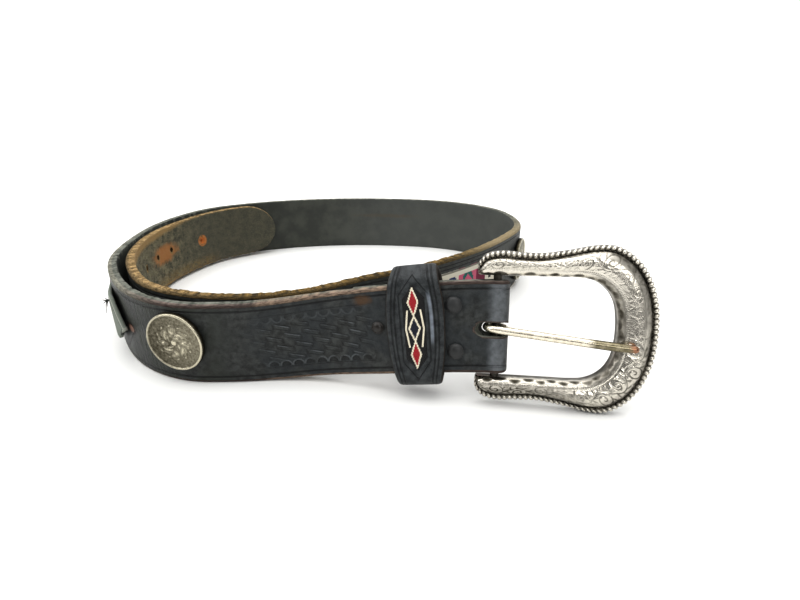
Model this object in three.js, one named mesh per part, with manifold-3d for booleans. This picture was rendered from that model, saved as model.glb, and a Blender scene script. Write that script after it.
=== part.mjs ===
// Medallion belt: a western leather belt, unfastened and coiled one and a half times,
// standing on its lower edge. Units are millimetres, +Z is up, and the run of strap
// next to the buckle lies along X. The buckle's outer end points to +X.
import * as THREE from "three";
import { mergeVertices } from "three/addons/utils/BufferGeometryUtils.js";
import Module from "manifold-3d";

const wasm = await Module();
wasm.setup();

const DEG = Math.PI / 180;
const CLEAR = 0.3;

// Strap section
const STRAP_WIDTH = 38;
const STRAP_THICK = 4.6;
const FOLD_THICK = 2.8;
const EDGE_BEVEL = 0.7;
const SECTION_STEP = 8;

// How the strap stands: flat on its edge, except that the buckle lifts the front run
const LEAN_AT_BUCKLE = 16 * DEG;
const RISE_AT_BUCKLE = 15.1;
const RISE_RUN = 110;
const RISE_START = 0.2;

// Seen from above, the grain face of the strap from the buckle's bar to the tip
const PLAN = [
  { x: 80.2, y: -99.7 },
  { x: 45, y: -99.9 },
  { x: 8, y: -98.4 },
  { x: -14, y: -101.6 },
  { x: -35, y: -106.4 },
  { x: -52, y: -108.6 },
  { x: -68, y: -105.9 },
  { x: -86.4, y: -96.8 },
  { x: -108, y: -77.2 },
  { x: -124, y: -55 },
  { x: -134.5, y: -25 },
  { x: -139.4, y: 6 },
  { x: -136.6, y: 32 },
  { x: -127, y: 55.5 },
  { x: -105, y: 75.4 },
  { x: -72.5, y: 92.5 },
  { x: -36.6, y: 103.7 },
  { x: 1.5, y: 108.8 },
  { x: 39.9, y: 107.6 },
  { x: 68, y: 98 },
  { x: 87, y: 82 },
  { x: 97, y: 58 },
  { x: 97.3, y: 38 },
  { x: 86.5, y: 11 },
  { x: 70.5, y: -15.5 },
  { x: 49, y: -41 },
  { x: 19.5, y: -65.5 },
  { x: -4, y: -86 },
  { x: -30, y: -96.4 },
  { x: -57, y: -97.3 },
  { x: -82, y: -89.1 },
  { x: -107, y: -65.6 },
  { x: -121.5, y: -42 },
  { x: -130.5, y: -10 },
  { x: -128.2, y: 22 },
  { x: -118, y: 50 },
  { x: -100.5, y: 68.5 },
  { x: -86.5, y: 77.5 },
];

// Folded end
const FOLD_LENGTH = 58;
const FOLD_GAP = 0.4;
const FOLD_BLEND = 10;

// The prong's slot, stepped: through both layers, through the front one, and a worn rim
const SLOT = [
  { reach: 5.9, height: 4.6, depth: 15 },
  { reach: 6.8, height: 4.6, depth: 4.7 },
  { reach: 8.3, height: 5.9, depth: 3.4 },
];

// Rounded tip: the last stretch is a little narrower, and its lower edge clears the table
const TIP_ROUND = 24;
const TIP_NARROW = { start: 880, run: 70, by: 1 };

// Holes, measured back from the tip and up from the middle
const HOLES = [
  { back: 61, up: 0.5, radius: 2.3 },
  { back: 92, up: 3, radius: 1.3 },
  { back: 109, up: 3, radius: 1.3 },
  { back: 129, up: 3, radius: 1.3 },
];

// Medallions and woven panels take turns along the strap
const MEDALLIONS = [
  { at: 136.8, up: 2 },
  { at: 300.2, up: 0 },
  { at: 463.6, up: 0 },
  { at: 627, up: -1.5 },
];
const MEDALLION = { radius: 13.6, rim: 1.5, thick: 3, petals: 8, post: 1.8, postDepth: 2.8 };
const PANEL_AFTER = 83.7;
const PANEL = { length: 102, point: 13, halfHeight: 12, proud: 0.5, depth: 1.3 };

// Keeper
const KEEPER = { at: 32.2, wall: 2.8, room: 0.6, midWidth: 23.8, endWidth: 16, tilt: 0.05 };
const KEEPER_LOOP = [
  { up: 23.6, out: -3.9, outerUp: 26.4, outerOut: -3 },
  { up: 23.6, out: -4.7, outerUp: 26.4, outerOut: -5.4 },
  { up: 22.2, out: -6.8, outerUp: 24.4, outerOut: -8.6 },
  { up: 19.8, out: -8.8, outerUp: 20.9, outerOut: -11.4 },
  { up: 12, out: -8.8, outerUp: 12, outerOut: -11.6 },
  { up: 4, out: -8.8, outerUp: 4, outerOut: -11.6 },
  { up: -4, out: -8.8, outerUp: -4, outerOut: -11.6 },
  { up: -12, out: -8.8, outerUp: -12, outerOut: -11.6 },
  { up: -19.5, out: -8.8, outerUp: -19.5, outerOut: -11.6 },
  { up: -21.2, out: -7.4, outerUp: -23.2, outerOut: -9.4 },
  { up: -21.8, out: -4.1, outerUp: -24.6, outerOut: -4.1 },
  { up: -21.2, out: -0.8, outerUp: -23.2, outerOut: 1.2 },
  { up: -19.5, out: 0.6, outerUp: -19.5, outerOut: 3.4 },
  { up: -14, out: 0.6, outerUp: -14, outerOut: 3.4 },
  { up: -9, out: 0.6, outerUp: -9, outerOut: 3.4 },
  { up: -4, out: 0.6, outerUp: -4, outerOut: 3.4 },
  { up: 1, out: 0.6, outerUp: 1, outerOut: 3.4 },
  { up: 6, out: 0.6, outerUp: 6, outerOut: 3.4 },
  { up: 11, out: 0.6, outerUp: 11, outerOut: 3.4 },
  { up: 16, out: 0.6, outerUp: 16, outerOut: 3.4 },
  { up: 19.8, out: 0.6, outerUp: 20.9, outerOut: 3 },
  { up: 22.2, out: -1.6, outerUp: 24.4, outerOut: 0.2 },
];
const KEEPER_PANEL = { middle: 1.4, halfHeight: 17.5, halfWidth: 4.4, depth: 0.8, proud: 0.3 };

// Fasteners through the fold: place along the strap and height from its middle
const SCREWS = [
  { name: "fold_screw_upper", at: 16.6, up: 9.5, cap: 3.2, colour: 0x17181b },
  { name: "fold_screw_lower", at: 16.9, up: -9.7, cap: 3.2, colour: 0x17181b },
  { name: "fold_screw_rear", at: 48.3, up: 2.2, cap: 2.7, colour: 0x3a2a20 },
];
const SCREW = { dome: 1.6, post: 1.7, back: 3.2, backThick: 1.2 };

// Buckle, measured from the bar along the belt (x) and across it (y)
const BAR_RADIUS = 1.8;
const FOLD_INNER = BAR_RADIUS + 0.35;
const FRAME_OUTER = [
  { x: -8, y: 21.6 },
  { x: -8, y: 25.6 },
  { x: -5, y: 29.4 },
  { x: 1, y: 30.9 },
  { x: 9, y: 30.4 },
  { x: 17, y: 30.2 },
  { x: 27, y: 31.6 },
  { x: 38, y: 33.7 },
  { x: 45, y: 33.5 },
  { x: 51.8, y: 29.8 },
  { x: 57, y: 23.8 },
  { x: 60.5, y: 16 },
  { x: 62.2, y: 8 },
  { x: 62.6, y: 0 },
];
const FRAME_INNER = [
  { x: -7.4, y: 21 },
  { x: -6.4, y: 21 },
  { x: -4.4, y: 21 },
  { x: 0, y: 21 },
  { x: 8, y: 21 },
  { x: 15, y: 21 },
  { x: 22, y: 21 },
  { x: 30, y: 21 },
  { x: 35.5, y: 20.4 },
  { x: 40, y: 18.4 },
  { x: 43.4, y: 15.2 },
  { x: 45.7, y: 10.8 },
  { x: 46.7, y: 5.6 },
  { x: 47, y: 0 },
];
const FRAME_STEPS = 34;
const ROPE = 1.3;
const FRAME = { back: -2.9, dome: 4.8, crest: 4.1, lip: 1.4, bevel: 2.6 };
const PRONG = { radius: 1.8, reach: 52.6, drop: 5.4 * DEG, start: -0.8 };
const BAR_REACH = 25;

// Moves the middle of the belt's bounding box to the origin
const CENTRE = { x: 0.15, y: 0.45 };

const COLOURS = {
  leather: 0x1d1f22,
  woven: 0xb9b4a4,
  nickel: 0x8f8b80,
  silver: 0xb5b2aa,
  steel: 0x77756f,
  gold: 0xc9b98d,
};

function finish(colour, roughness, metalness) {
  return new THREE.MeshStandardMaterial({ color: colour, roughness, metalness });
}

function smooth(t) {
  const c = Math.min(1, Math.max(0, t));
  return c * c * (3 - 2 * c);
}

function geometryFrom(points, faces) {
  const geometry = new THREE.BufferGeometry();
  const numbers = points.flatMap((p) => p.toArray());
  geometry.setAttribute("position", new THREE.Float32BufferAttribute(numbers, 3));
  geometry.setIndex(faces.flat());
  return geometry;
}

// Joins a row of closed outlines, all with the same number of points, into one solid.
// The outlines run anticlockwise when seen against the direction of travel.
function loft(rings, closed = false) {
  const count = rings[0].length;
  const faces = [];
  const spans = closed ? rings.length : rings.length - 1;
  for (let i = 0; i < spans; i++) {
    const next = (i + 1) % rings.length;
    for (let j = 0; j < count; j++) {
      const k = (j + 1) % count;
      const [a, b, c, d] = [i * count + j, i * count + k, next * count + k, next * count + j];
      faces.push([a, b, c], [a, c, d]);
    }
  }
  if (!closed) {
    const last = (rings.length - 1) * count;
    for (let j = 1; j < count - 1; j++) {
      faces.push([0, j + 1, j], [last, last + j, last + j + 1]);
    }
  }
  return geometryFrom(rings.flat(), faces);
}

function toManifold(geometry) {
  const bare = geometry.clone();
  bare.deleteAttribute("normal");
  bare.deleteAttribute("uv");
  const merged = mergeVertices(bare, 1e-4);
  const mesh = new wasm.Mesh({
    numProp: 3,
    vertProperties: new Float32Array(merged.attributes.position.array),
    triVerts: new Uint32Array(merged.index.array),
  });
  const solid = new wasm.Manifold(mesh);
  if (solid.volume() < 0) throw new Error("a solid is inside out");
  return solid;
}

function toGeometry(solid) {
  const mesh = solid.getMesh();
  const geometry = new THREE.BufferGeometry();
  geometry.setAttribute("position", new THREE.BufferAttribute(new Float32Array(mesh.vertProperties), 3));
  geometry.setIndex(new THREE.BufferAttribute(new Uint32Array(mesh.triVerts), 1));
  return geometry;
}

function cut(solid, tools) {
  return tools.reduce((rest, tool) => rest.subtract(toManifold(tool)), solid);
}

// The strap's grain face: a smooth plan curve, eased upwards and leaning back near the buckle
const stations = PLAN.map((p) => new THREE.Vector3(p.x, p.y, 0));
const planCurve = new THREE.CatmullRomCurve3(stations, false, "centripetal");
planCurve.arcLengthDivisions = 3000;
const STRAP_LENGTH = planCurve.getLength();

// How much narrower the strap is on each side, and so how far its lower edge is lifted
function tipNarrowing(s) {
  return TIP_NARROW.by * smooth((s - TIP_NARROW.start) / TIP_NARROW.run);
}

// Place and directions at a distance along the strap: along, up the width, and out of the grain face
function frameAt(s) {
  const u = Math.min(1, Math.max(0, s / STRAP_LENGTH));
  const along = planCurve.getTangentAt(u);
  const run = Math.min(1, s / RISE_RUN);
  const ease = (1 - run) ** 2 * (1 + (2 - RISE_START) * run);
  const easeSlope = (1 - run) * ((2 - RISE_START) * (1 - 3 * run) - 2);
  const lean = LEAN_AT_BUCKLE * ease;
  const inward = new THREE.Vector3(along.y, -along.x, 0);
  const at = planCurve.getPointAt(u);
  at.z = RISE_AT_BUCKLE * ease + (STRAP_WIDTH / 2) * Math.cos(lean) + tipNarrowing(s);
  along.z = (RISE_AT_BUCKLE * easeSlope) / RISE_RUN;
  along.normalize();
  const up = inward.multiplyScalar(Math.sin(lean)).add(new THREE.Vector3(0, 0, Math.cos(lean)));
  up.addScaledVector(along, -up.dot(along)).normalize();
  const out = new THREE.Vector3().crossVectors(up, along);
  return { at, along, up, out };
}

// A point given by its height up the strap and its distance out of the grain face
function onFrame(frame, up, out) {
  return frame.at.clone().addScaledVector(frame.up, up).addScaledVector(frame.out, out);
}

// One section of leather with bevelled edges, between the grain face and the flesh face
function leatherRing(frame, half, grain, flesh) {
  const sign = Math.sign(grain - flesh);
  const bevel = Math.min(EDGE_BEVEL, half * 0.4);
  const outline = [
    [half - bevel, grain],
    [half, grain - sign * bevel],
    [half, flesh + sign * bevel],
    [half - bevel, flesh],
    [bevel - half, flesh],
    [-half, flesh + sign * bevel],
    [-half, grain - sign * bevel],
    [bevel - half, grain],
  ];
  return outline.map(([up, out]) => onFrame(frame, up, out));
}

function thicknessAt(s) {
  return FOLD_THICK + (STRAP_THICK - FOLD_THICK) * smooth(s / FOLD_BLEND);
}

// Half the strap's width, which rounds off towards the tip
function halfWidthAt(s) {
  const left = Math.max(0, STRAP_LENGTH - s);
  const t = Math.min(1, left / TIP_ROUND);
  return (STRAP_WIDTH / 2 - tipNarrowing(s)) * Math.max(0.06, Math.sqrt(1 - (1 - t) ** 2.3));
}

const FOLD_OUTER = FOLD_INNER + FOLD_THICK;

function strapRings() {
  const rings = [];
  const half = STRAP_WIDTH / 2;
  for (let i = 0; i <= 12; i++) {
    const s = FOLD_LENGTH * (1 - i / 12);
    const pressed = thicknessAt(s) + FOLD_GAP + FOLD_THICK;
    const apart = 2 * FOLD_OUTER + (pressed - 2 * FOLD_OUTER) * smooth(s / FOLD_BLEND);
    rings.push(leatherRing(frameAt(s), half, -apart, FOLD_THICK - apart));
  }
  const start = frameAt(0);
  const bar = onFrame(start, 0, -FOLD_OUTER);
  for (let i = 1; i < 12; i++) {
    const turn = Math.PI * (1 - i / 12);
    const out = start.out.clone().multiplyScalar(Math.cos(turn));
    out.addScaledVector(start.along, -Math.sin(turn));
    const at = bar.clone().addScaledVector(out, FOLD_OUTER);
    rings.push(leatherRing({ at, up: start.up, out }, half, 0, -FOLD_THICK));
  }
  const steps = Math.round((STRAP_LENGTH - TIP_ROUND) / SECTION_STEP);
  for (let i = 0; i <= steps; i++) {
    const s = ((STRAP_LENGTH - TIP_ROUND) * i) / steps;
    rings.push(leatherRing(frameAt(s), halfWidthAt(s), 0, -thicknessAt(s)));
  }
  for (let i = 1; i <= 8; i++) {
    const s = STRAP_LENGTH - TIP_ROUND * (1 - Math.sin((i / 8) * (Math.PI / 2)));
    rings.push(leatherRing(frameAt(s), halfWidthAt(s), 0, -STRAP_THICK));
  }
  return rings;
}

// A round pin that passes through the strap, square to its grain face
function pinThrough(s, up, radius, out, depth, sides = 10) {
  const geometry = new THREE.CylinderGeometry(radius, radius, depth, sides);
  geometry.rotateX(Math.PI / 2);
  geometry.translate(0, 0, out - depth / 2);
  return placeOn(geometry, s, up);
}

// Moves a shape drawn with its face towards +Z onto the strap
function placeOn(geometry, s, up) {
  const frame = frameAt(s);
  const right = frame.along.clone().negate();
  const matrix = new THREE.Matrix4().makeBasis(right, frame.up, frame.out);
  matrix.setPosition(onFrame(frame, up, 0));
  return geometry.applyMatrix4(matrix);
}

// A thin slab that follows the strap: a long hexagon with pointed ends
function hexSlab(centre, grow, top, bottom) {
  const halfLength = PANEL.length / 2 + grow * 1.4;
  const rings = [];
  const marks = [0, 0.25, 0.5, 0.75, 1].map((t) => t * PANEL.point);
  const flat = PANEL.length - 2 * PANEL.point;
  for (let i = 1; i < 12; i++) marks.push(PANEL.point + (flat * i) / 12);
  for (let i = 0; i <= 4; i++) marks.push(PANEL.length - PANEL.point + (PANEL.point * i) / 4);
  for (const mark of marks) {
    const along = (mark / PANEL.length - 0.5) * 2 * halfLength;
    const toEnd = halfLength - Math.abs(along);
    const half = Math.max(1, Math.min(1, toEnd / PANEL.point) * PANEL.halfHeight) + grow;
    const frame = frameAt(centre + along);
    rings.push([
      onFrame(frame, half, top),
      onFrame(frame, half, bottom),
      onFrame(frame, -half, bottom),
      onFrame(frame, -half, top),
    ]);
  }
  return loft(rings);
}

// One step of the prong's slot, with a round end on the strap's side, from its depth outwards
function slotGeometry({ reach, height, depth }) {
  const round = height / 2;
  const shape = new THREE.Shape();
  shape.moveTo(FOLD_OUTER + 2, -round);
  shape.lineTo(FOLD_OUTER + 2, round);
  shape.absarc(round - reach, 0, round, Math.PI / 2, 1.5 * Math.PI, false);
  const options = { depth: depth + FOLD_OUTER, bevelEnabled: false, curveSegments: 8 };
  const slot = new THREE.ExtrudeGeometry(shape, options);
  slot.translate(0, PRONG.start, -depth);
  return slot;
}

function strapGeometry() {
  const start = frameAt(0);
  const tools = SLOT.map((step) => placeOn(slotGeometry(step), 0, 0));
  for (const medallion of MEDALLIONS) {
    const deep = 3 + MEDALLION.postDepth + CLEAR;
    tools.push(pinThrough(medallion.at, medallion.up, MEDALLION.post + CLEAR, 3, deep));
    tools.push(hexSlab(medallion.at + PANEL_AFTER, CLEAR, 3, -PANEL.depth));
  }
  for (const screw of SCREWS) {
    tools.push(pinThrough(screw.at, screw.up, SCREW.post + CLEAR, 3, 18));
  }
  for (const hole of HOLES) {
    tools.push(pinThrough(STRAP_LENGTH - hole.back, hole.up, hole.radius, 3, 12));
  }
  if (start.out.y > 0) throw new Error("the grain face points inwards");
  return toGeometry(cut(toManifold(loft(strapRings())), tools));
}

// Medallion: a disc with a rim, a raised rosette, and a post that ends inside the strap
function medallionGeometry() {
  const { radius, rim, thick, petals, post, postDepth } = MEDALLION;
  const sides = 32;
  const back = CLEAR;
  const profile = [
    { r: post, z: -postDepth },
    { r: post, z: back },
    { r: radius, z: back },
    { r: radius, z: thick - 0.5 },
    { r: radius - rim / 2, z: thick },
    { r: radius - rim - 0.6, z: thick - 1.1 },
    { r: radius * 0.74, z: thick - 0.9, relief: 0.25 },
    { r: radius * 0.55, z: thick - 0.7, relief: 0.7 },
    { r: radius * 0.36, z: thick - 0.8, relief: 0.35 },
    { r: radius * 0.24, z: thick - 0.5 },
    { r: radius * 0.12, z: thick + 0.1 },
  ];
  const rings = profile.map(({ r, z, relief = 0 }) =>
    Array.from({ length: sides }, (unused, j) => {
      const a = (j / sides) * 2 * Math.PI;
      const raise = relief * (0.5 + 0.5 * Math.cos(petals * a));
      return new THREE.Vector3(r * Math.cos(a), r * Math.sin(a), z + raise);
    }),
  );
  return loft(rings);
}

function screwGeometry(cap) {
  const backFace = -(STRAP_THICK + FOLD_GAP + FOLD_THICK) - CLEAR;
  const profile = [
    [0, backFace - SCREW.backThick],
    [SCREW.back, backFace - SCREW.backThick],
    [SCREW.back, backFace],
    [SCREW.post, backFace],
    [SCREW.post, CLEAR],
    [cap, CLEAR],
    [cap * 0.93, CLEAR + SCREW.dome * 0.45],
    [cap * 0.62, CLEAR + SCREW.dome * 0.85],
    [0, CLEAR + SCREW.dome],
  ];
  const geometry = new THREE.LatheGeometry(profile.map(([r, z]) => new THREE.Vector2(r, z)), 16);
  geometry.rotateX(Math.PI / 2);
  return geometry;
}

// The keeper sits a little askew, with its upper end towards the buckle
function keeperPlace(along, up) {
  return KEEPER.at + along - KEEPER.tilt * up;
}

// Keeper: a leather loop, slack at the top, widest across the middle of its front
function keeperGeometry() {
  const face = KEEPER.room + KEEPER.wall;
  const reach = Math.max(...KEEPER_LOOP.map((row) => row.outerUp));
  const rings = KEEPER_LOOP.map((row) => {
    const taper = Math.abs(row.up / reach) ** 2.4;
    const half = (KEEPER.midWidth - (KEEPER.midWidth - KEEPER.endWidth) * taper) / 2;
    const corner = (side, up, out) => onFrame(frameAt(keeperPlace(side * half, up)), up, out);
    return [
      corner(-1, row.outerUp, row.outerOut),
      corner(-1, row.up, row.out),
      corner(1, row.up, row.out),
      corner(1, row.outerUp, row.outerOut),
    ];
  });
  const recess = keeperPanelSlab(CLEAR, face + 2, face - KEEPER_PANEL.depth);
  return toGeometry(cut(toManifold(loft(rings, true)), [recess]));
}

// The keeper's woven strip: a tall thin hexagon
function keeperPanelSlab(grow, top, bottom) {
  const { halfHeight, halfWidth } = KEEPER_PANEL;
  const rows = [-1, -0.72, -0.36, 0, 0.36, 0.72, 1];
  const rings = rows.map((t) => {
    const up = KEEPER_PANEL.middle + t * (halfHeight + grow * 1.5);
    const half = Math.max(0.6, halfWidth * Math.min(1, (1 - Math.abs(t)) / 0.28)) + grow;
    const corner = (side, out) => onFrame(frameAt(keeperPlace(side * half, up)), up, out);
    return [corner(-1, bottom), corner(1, bottom), corner(1, top), corner(-1, top)];
  });
  return loft(rings);
}

// Buckle frame in its own plane: x along the belt, y across it, z out of its face
function outlineCurve(rows) {
  const flip = (p) => new THREE.Vector3(p.x, -p.y, 0);
  const upper = rows.map((p) => new THREE.Vector3(p.x, p.y, 0));
  const lower = rows.slice(0, -1).map(flip).reverse();
  return new THREE.CatmullRomCurve3([...upper, ...lower], false, "centripetal");
}

function frameRing(outer, inner) {
  const across = inner.clone().sub(outer);
  const width = across.length();
  across.normalize();
  const rope = Math.min(2 * ROPE, width * 0.45);
  const bevel = Math.min(FRAME.bevel, width * 0.3);
  const full = smooth((width - 1.2) / 6);
  const rise = (z) => ROPE + (z - ROPE) * full;
  const outline = [
    [width * 0.1, FRAME.back],
    [0, FRAME.back + ROPE],
    [0, 0.4],
    [rope / 2, ROPE],
    [rope, 0.7],
    [rope + (width - rope) * 0.14, rise(FRAME.dome * 0.72)],
    [rope + (width - rope) * 0.4, rise(FRAME.dome)],
    [width - bevel, rise(FRAME.crest)],
    [width, FRAME.lip * full],
    [width, FRAME.back],
  ];
  return outline.map(([d, z]) => outer.clone().addScaledVector(across, d).setZ(z));
}

function buckleFrameGeometry() {
  const outer = outlineCurve(FRAME_OUTER);
  const inner = outlineCurve(FRAME_INNER);
  const rings = [];
  const count = 2 * FRAME_STEPS;
  for (let i = 0; i <= count; i++) {
    const t = i / count;
    rings.push(frameRing(outer.getPoint(t), inner.getPoint(t)));
  }
  const bore = BAR_RADIUS + CLEAR;
  const socket = new THREE.CylinderGeometry(bore, bore, 2 * (BAR_REACH + CLEAR), 16);
  return toGeometry(cut(toManifold(loft(rings)), [socket]));
}

// Prong: an eye round the bar, a straight shank over the opening, and a round nose on the frame
function prongGeometry() {
  const { radius, reach, drop, start } = PRONG;
  const orbit = BAR_RADIUS + 0.35 + radius;
  const land = FRAME.dome + 0.35 + radius;
  const eye = new THREE.TorusGeometry(orbit, radius * 0.92, 8, 20);
  eye.rotateX(Math.PI / 2);
  const shankPath = new THREE.CatmullRomCurve3([
    new THREE.Vector3(0, 0, orbit),
    new THREE.Vector3(reach * 0.3, 0, orbit + (land - orbit) * 0.35),
    new THREE.Vector3(reach * 0.7, 0, orbit + (land - orbit) * 0.85),
    new THREE.Vector3(reach, 0, land),
  ]);
  const rings = [];
  const steps = 14;
  for (let i = 0; i <= steps; i++) {
    const t = i / steps;
    const at = shankPath.getPoint(t);
    const round = t > 0.94 ? 0.72 : 1;
    rings.push(roundRing(at, radius * round, 10));
  }
  rings.push(roundRing(new THREE.Vector3(reach + 0.9, 0, land - 0.15), radius * 0.3, 10));
  const joined = toManifold(eye).add(toManifold(loft(rings)));
  const geometry = toGeometry(joined);
  geometry.rotateZ(-drop);
  geometry.translate(0, start, 0);
  return geometry;
}

function roundRing(at, radius, sides) {
  return Array.from({ length: sides }, (unused, i) => {
    const a = (i / sides) * 2 * Math.PI;
    return new THREE.Vector3(at.x, at.y + radius * Math.cos(a), at.z + radius * Math.sin(a));
  });
}

function addMesh(group, name, geometry, material) {
  const mesh = new THREE.Mesh(geometry, material);
  mesh.name = name;
  group.add(mesh);
}

function buildStrapParts(belt) {
  addMesh(belt, "strap", strapGeometry(), finish(COLOURS.leather, 0.55, 0));
  addMesh(belt, "keeper", keeperGeometry(), finish(COLOURS.leather, 0.5, 0));
  const face = KEEPER.room + KEEPER.wall;
  const strip = keeperPanelSlab(0, face + KEEPER_PANEL.proud, face - KEEPER_PANEL.depth + CLEAR);
  addMesh(belt, "keeper_inlay", strip, finish(COLOURS.woven, 0.9, 0));
  MEDALLIONS.forEach(({ at, up }, i) => {
    const disc = placeOn(medallionGeometry(), at, up);
    addMesh(belt, `medallion_${i + 1}`, disc, finish(COLOURS.nickel, 0.4, 1));
    const panel = hexSlab(at + PANEL_AFTER, 0, PANEL.proud, CLEAR - PANEL.depth);
    addMesh(belt, `woven_panel_${i + 1}`, panel, finish(COLOURS.woven, 0.9, 0));
  });
  for (const screw of SCREWS) {
    const cap = placeOn(screwGeometry(screw.cap), screw.at, screw.up);
    addMesh(belt, screw.name, cap, finish(screw.colour, 0.35, 0.4));
  }
}

function buildBuckle(belt) {
  const buckle = new THREE.Group();
  const start = frameAt(0);
  const matrix = new THREE.Matrix4().makeBasis(start.along.clone().negate(), start.up, start.out);
  buckle.applyMatrix4(matrix.setPosition(onFrame(start, 0, -FOLD_OUTER)));
  addMesh(buckle, "buckle_frame", buckleFrameGeometry(), finish(COLOURS.silver, 0.3, 1));
  const bar = new THREE.CylinderGeometry(BAR_RADIUS, BAR_RADIUS, 2 * BAR_REACH, 16);
  addMesh(buckle, "heel_bar", bar, finish(COLOURS.steel, 0.4, 1));
  addMesh(buckle, "prong", prongGeometry(), finish(COLOURS.gold, 0.3, 1));
  belt.add(buckle);
}

const belt = new THREE.Group();
belt.name = "medallion_belt";
belt.position.set(CENTRE.x, CENTRE.y, 0);
buildStrapParts(belt);
buildBuckle(belt);

export default belt;
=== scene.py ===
# %% [markdown]
# # A western belt, coiled on a table
# The belt is a 38 mm leather strap that stands on its edge, coiled one and a half times.
# A cast, engraved buckle hangs on a bar in the folded end, and discs of tarnished nickel
# and long woven panels take turns along the strap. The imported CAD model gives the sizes;
# every piece below is a finer surface on the same lines.

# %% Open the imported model
import math

import bpy
import numpy as np
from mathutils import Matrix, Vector


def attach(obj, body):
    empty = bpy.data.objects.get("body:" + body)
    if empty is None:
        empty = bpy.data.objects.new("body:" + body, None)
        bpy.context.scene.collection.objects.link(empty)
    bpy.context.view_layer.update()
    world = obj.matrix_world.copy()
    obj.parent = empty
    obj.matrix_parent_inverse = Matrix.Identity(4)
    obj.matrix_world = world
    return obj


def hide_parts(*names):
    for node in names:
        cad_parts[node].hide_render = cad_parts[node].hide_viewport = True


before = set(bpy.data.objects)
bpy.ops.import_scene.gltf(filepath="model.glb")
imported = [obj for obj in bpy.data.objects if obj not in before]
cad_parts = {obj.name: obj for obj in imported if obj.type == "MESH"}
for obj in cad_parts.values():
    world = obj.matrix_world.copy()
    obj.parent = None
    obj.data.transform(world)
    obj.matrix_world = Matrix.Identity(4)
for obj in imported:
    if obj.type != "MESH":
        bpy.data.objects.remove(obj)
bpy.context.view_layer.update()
scene = bpy.context.scene

# %% [markdown]
# ## The line that the strap follows
# Seen from above, the grain face of the strap is one smooth curve through a few stations.
# A centripetal Catmull-Rom curve passes through all of them with no overshoot, so the coil
# can be read straight off the table below. Near the buckle the strap is lifted and leans
# back, because the buckle's lower edge rests on the table.

# %% Sizes of the strap, in millimetres
STRAP_WIDTH = 38.0
STRAP_THICK = 4.6
FOLD_THICK = 2.8
FOLD_LENGTH = 58.0
FOLD_GAP = 0.4
FOLD_BLEND = 10.0
BAR_RADIUS = 1.8
BAR_GAP = 0.35
FOLD_OUTER = BAR_RADIUS + BAR_GAP + FOLD_THICK
LEAN = math.radians(16)
RISE = 15.1
RISE_RUN = 110.0
RISE_START = 0.2
TIP_ROUND = 24.0
TIP_NARROW = 1.0
NARROW_FROM, NARROW_OVER = 880.0, 70.0
CENTRE = np.array([0.15, 0.45, 0.0])
PLAN = np.array([
    [80.2, -99.7], [45, -99.9], [8, -98.4], [-14, -101.6], [-35, -106.4], [-52, -108.6],
    [-68, -105.9], [-86.4, -96.8], [-108, -77.2], [-124, -55], [-134.5, -25], [-139.4, 6],
    [-136.6, 32], [-127, 55.5], [-105, 75.4], [-72.5, 92.5], [-36.6, 103.7], [1.5, 108.8],
    [39.9, 107.6], [68, 98], [87, 82], [97, 58], [97.3, 38], [86.5, 11], [70.5, -15.5],
    [49, -41], [19.5, -65.5], [-4, -86], [-30, -96.4], [-57, -97.3], [-82, -89.1],
    [-107, -65.6], [-121.5, -42], [-130.5, -10], [-128.2, 22], [-118, 50], [-100.5, 68.5],
    [-86.5, 77.5]])


def smooth(t):
    """0 before 0, 1 after 1, and an S-shaped ease between: t squared times (3 - 2t)."""
    t = np.clip(t, 0, 1)
    return t * t * (3 - 2 * t)


def plan_curve(stations, per_span=80):
    """Centripetal Catmull-Rom: each span is a cubic whose end slopes weigh the neighbouring
    chords by the square roots of their lengths. Returns running length, points and slopes."""
    ends = [2 * stations[0] - stations[1]], [2 * stations[-1] - stations[-2]]
    p = np.concatenate([ends[0], stations, ends[1]])
    step = np.sqrt(np.linalg.norm(np.diff(p, axis=0), axis=1))[:, None]
    a, b, c, d = p[:-3], p[1:-2], p[2:-1], p[3:]
    da, db, dc = step[:-2], step[1:-1], step[2:]
    m0 = ((b - a) / da - (c - a) / (da + db) + (c - b) / db) * db
    m1 = ((c - b) / db - (d - b) / (db + dc) + (d - c) / dc) * db
    t = np.linspace(0, 1, per_span, endpoint=False)[None, :, None]
    b, c, m0, m1 = b[:, None], c[:, None], m0[:, None], m1[:, None]
    points = b + m0 * t + (3 * (c - b) - 2 * m0 - m1) * t ** 2 + (2 * (b - c) + m0 + m1) * t ** 3
    points = np.concatenate([points.reshape(-1, 2), stations[-1:]])
    length = np.concatenate([[0], np.cumsum(np.linalg.norm(np.diff(points, axis=0), axis=1))])
    return length, points, np.gradient(points, length, axis=0)


RUN, RUN_POINTS, RUN_SLOPES = plan_curve(PLAN)
STRAP_LENGTH = float(RUN[-1])


def narrowing(s):
    """The last stretch is up to 1 mm narrower on each side, so its lower edge lifts by that."""
    return TIP_NARROW * smooth((np.asarray(s, float) - NARROW_FROM) / NARROW_OVER)


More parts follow.
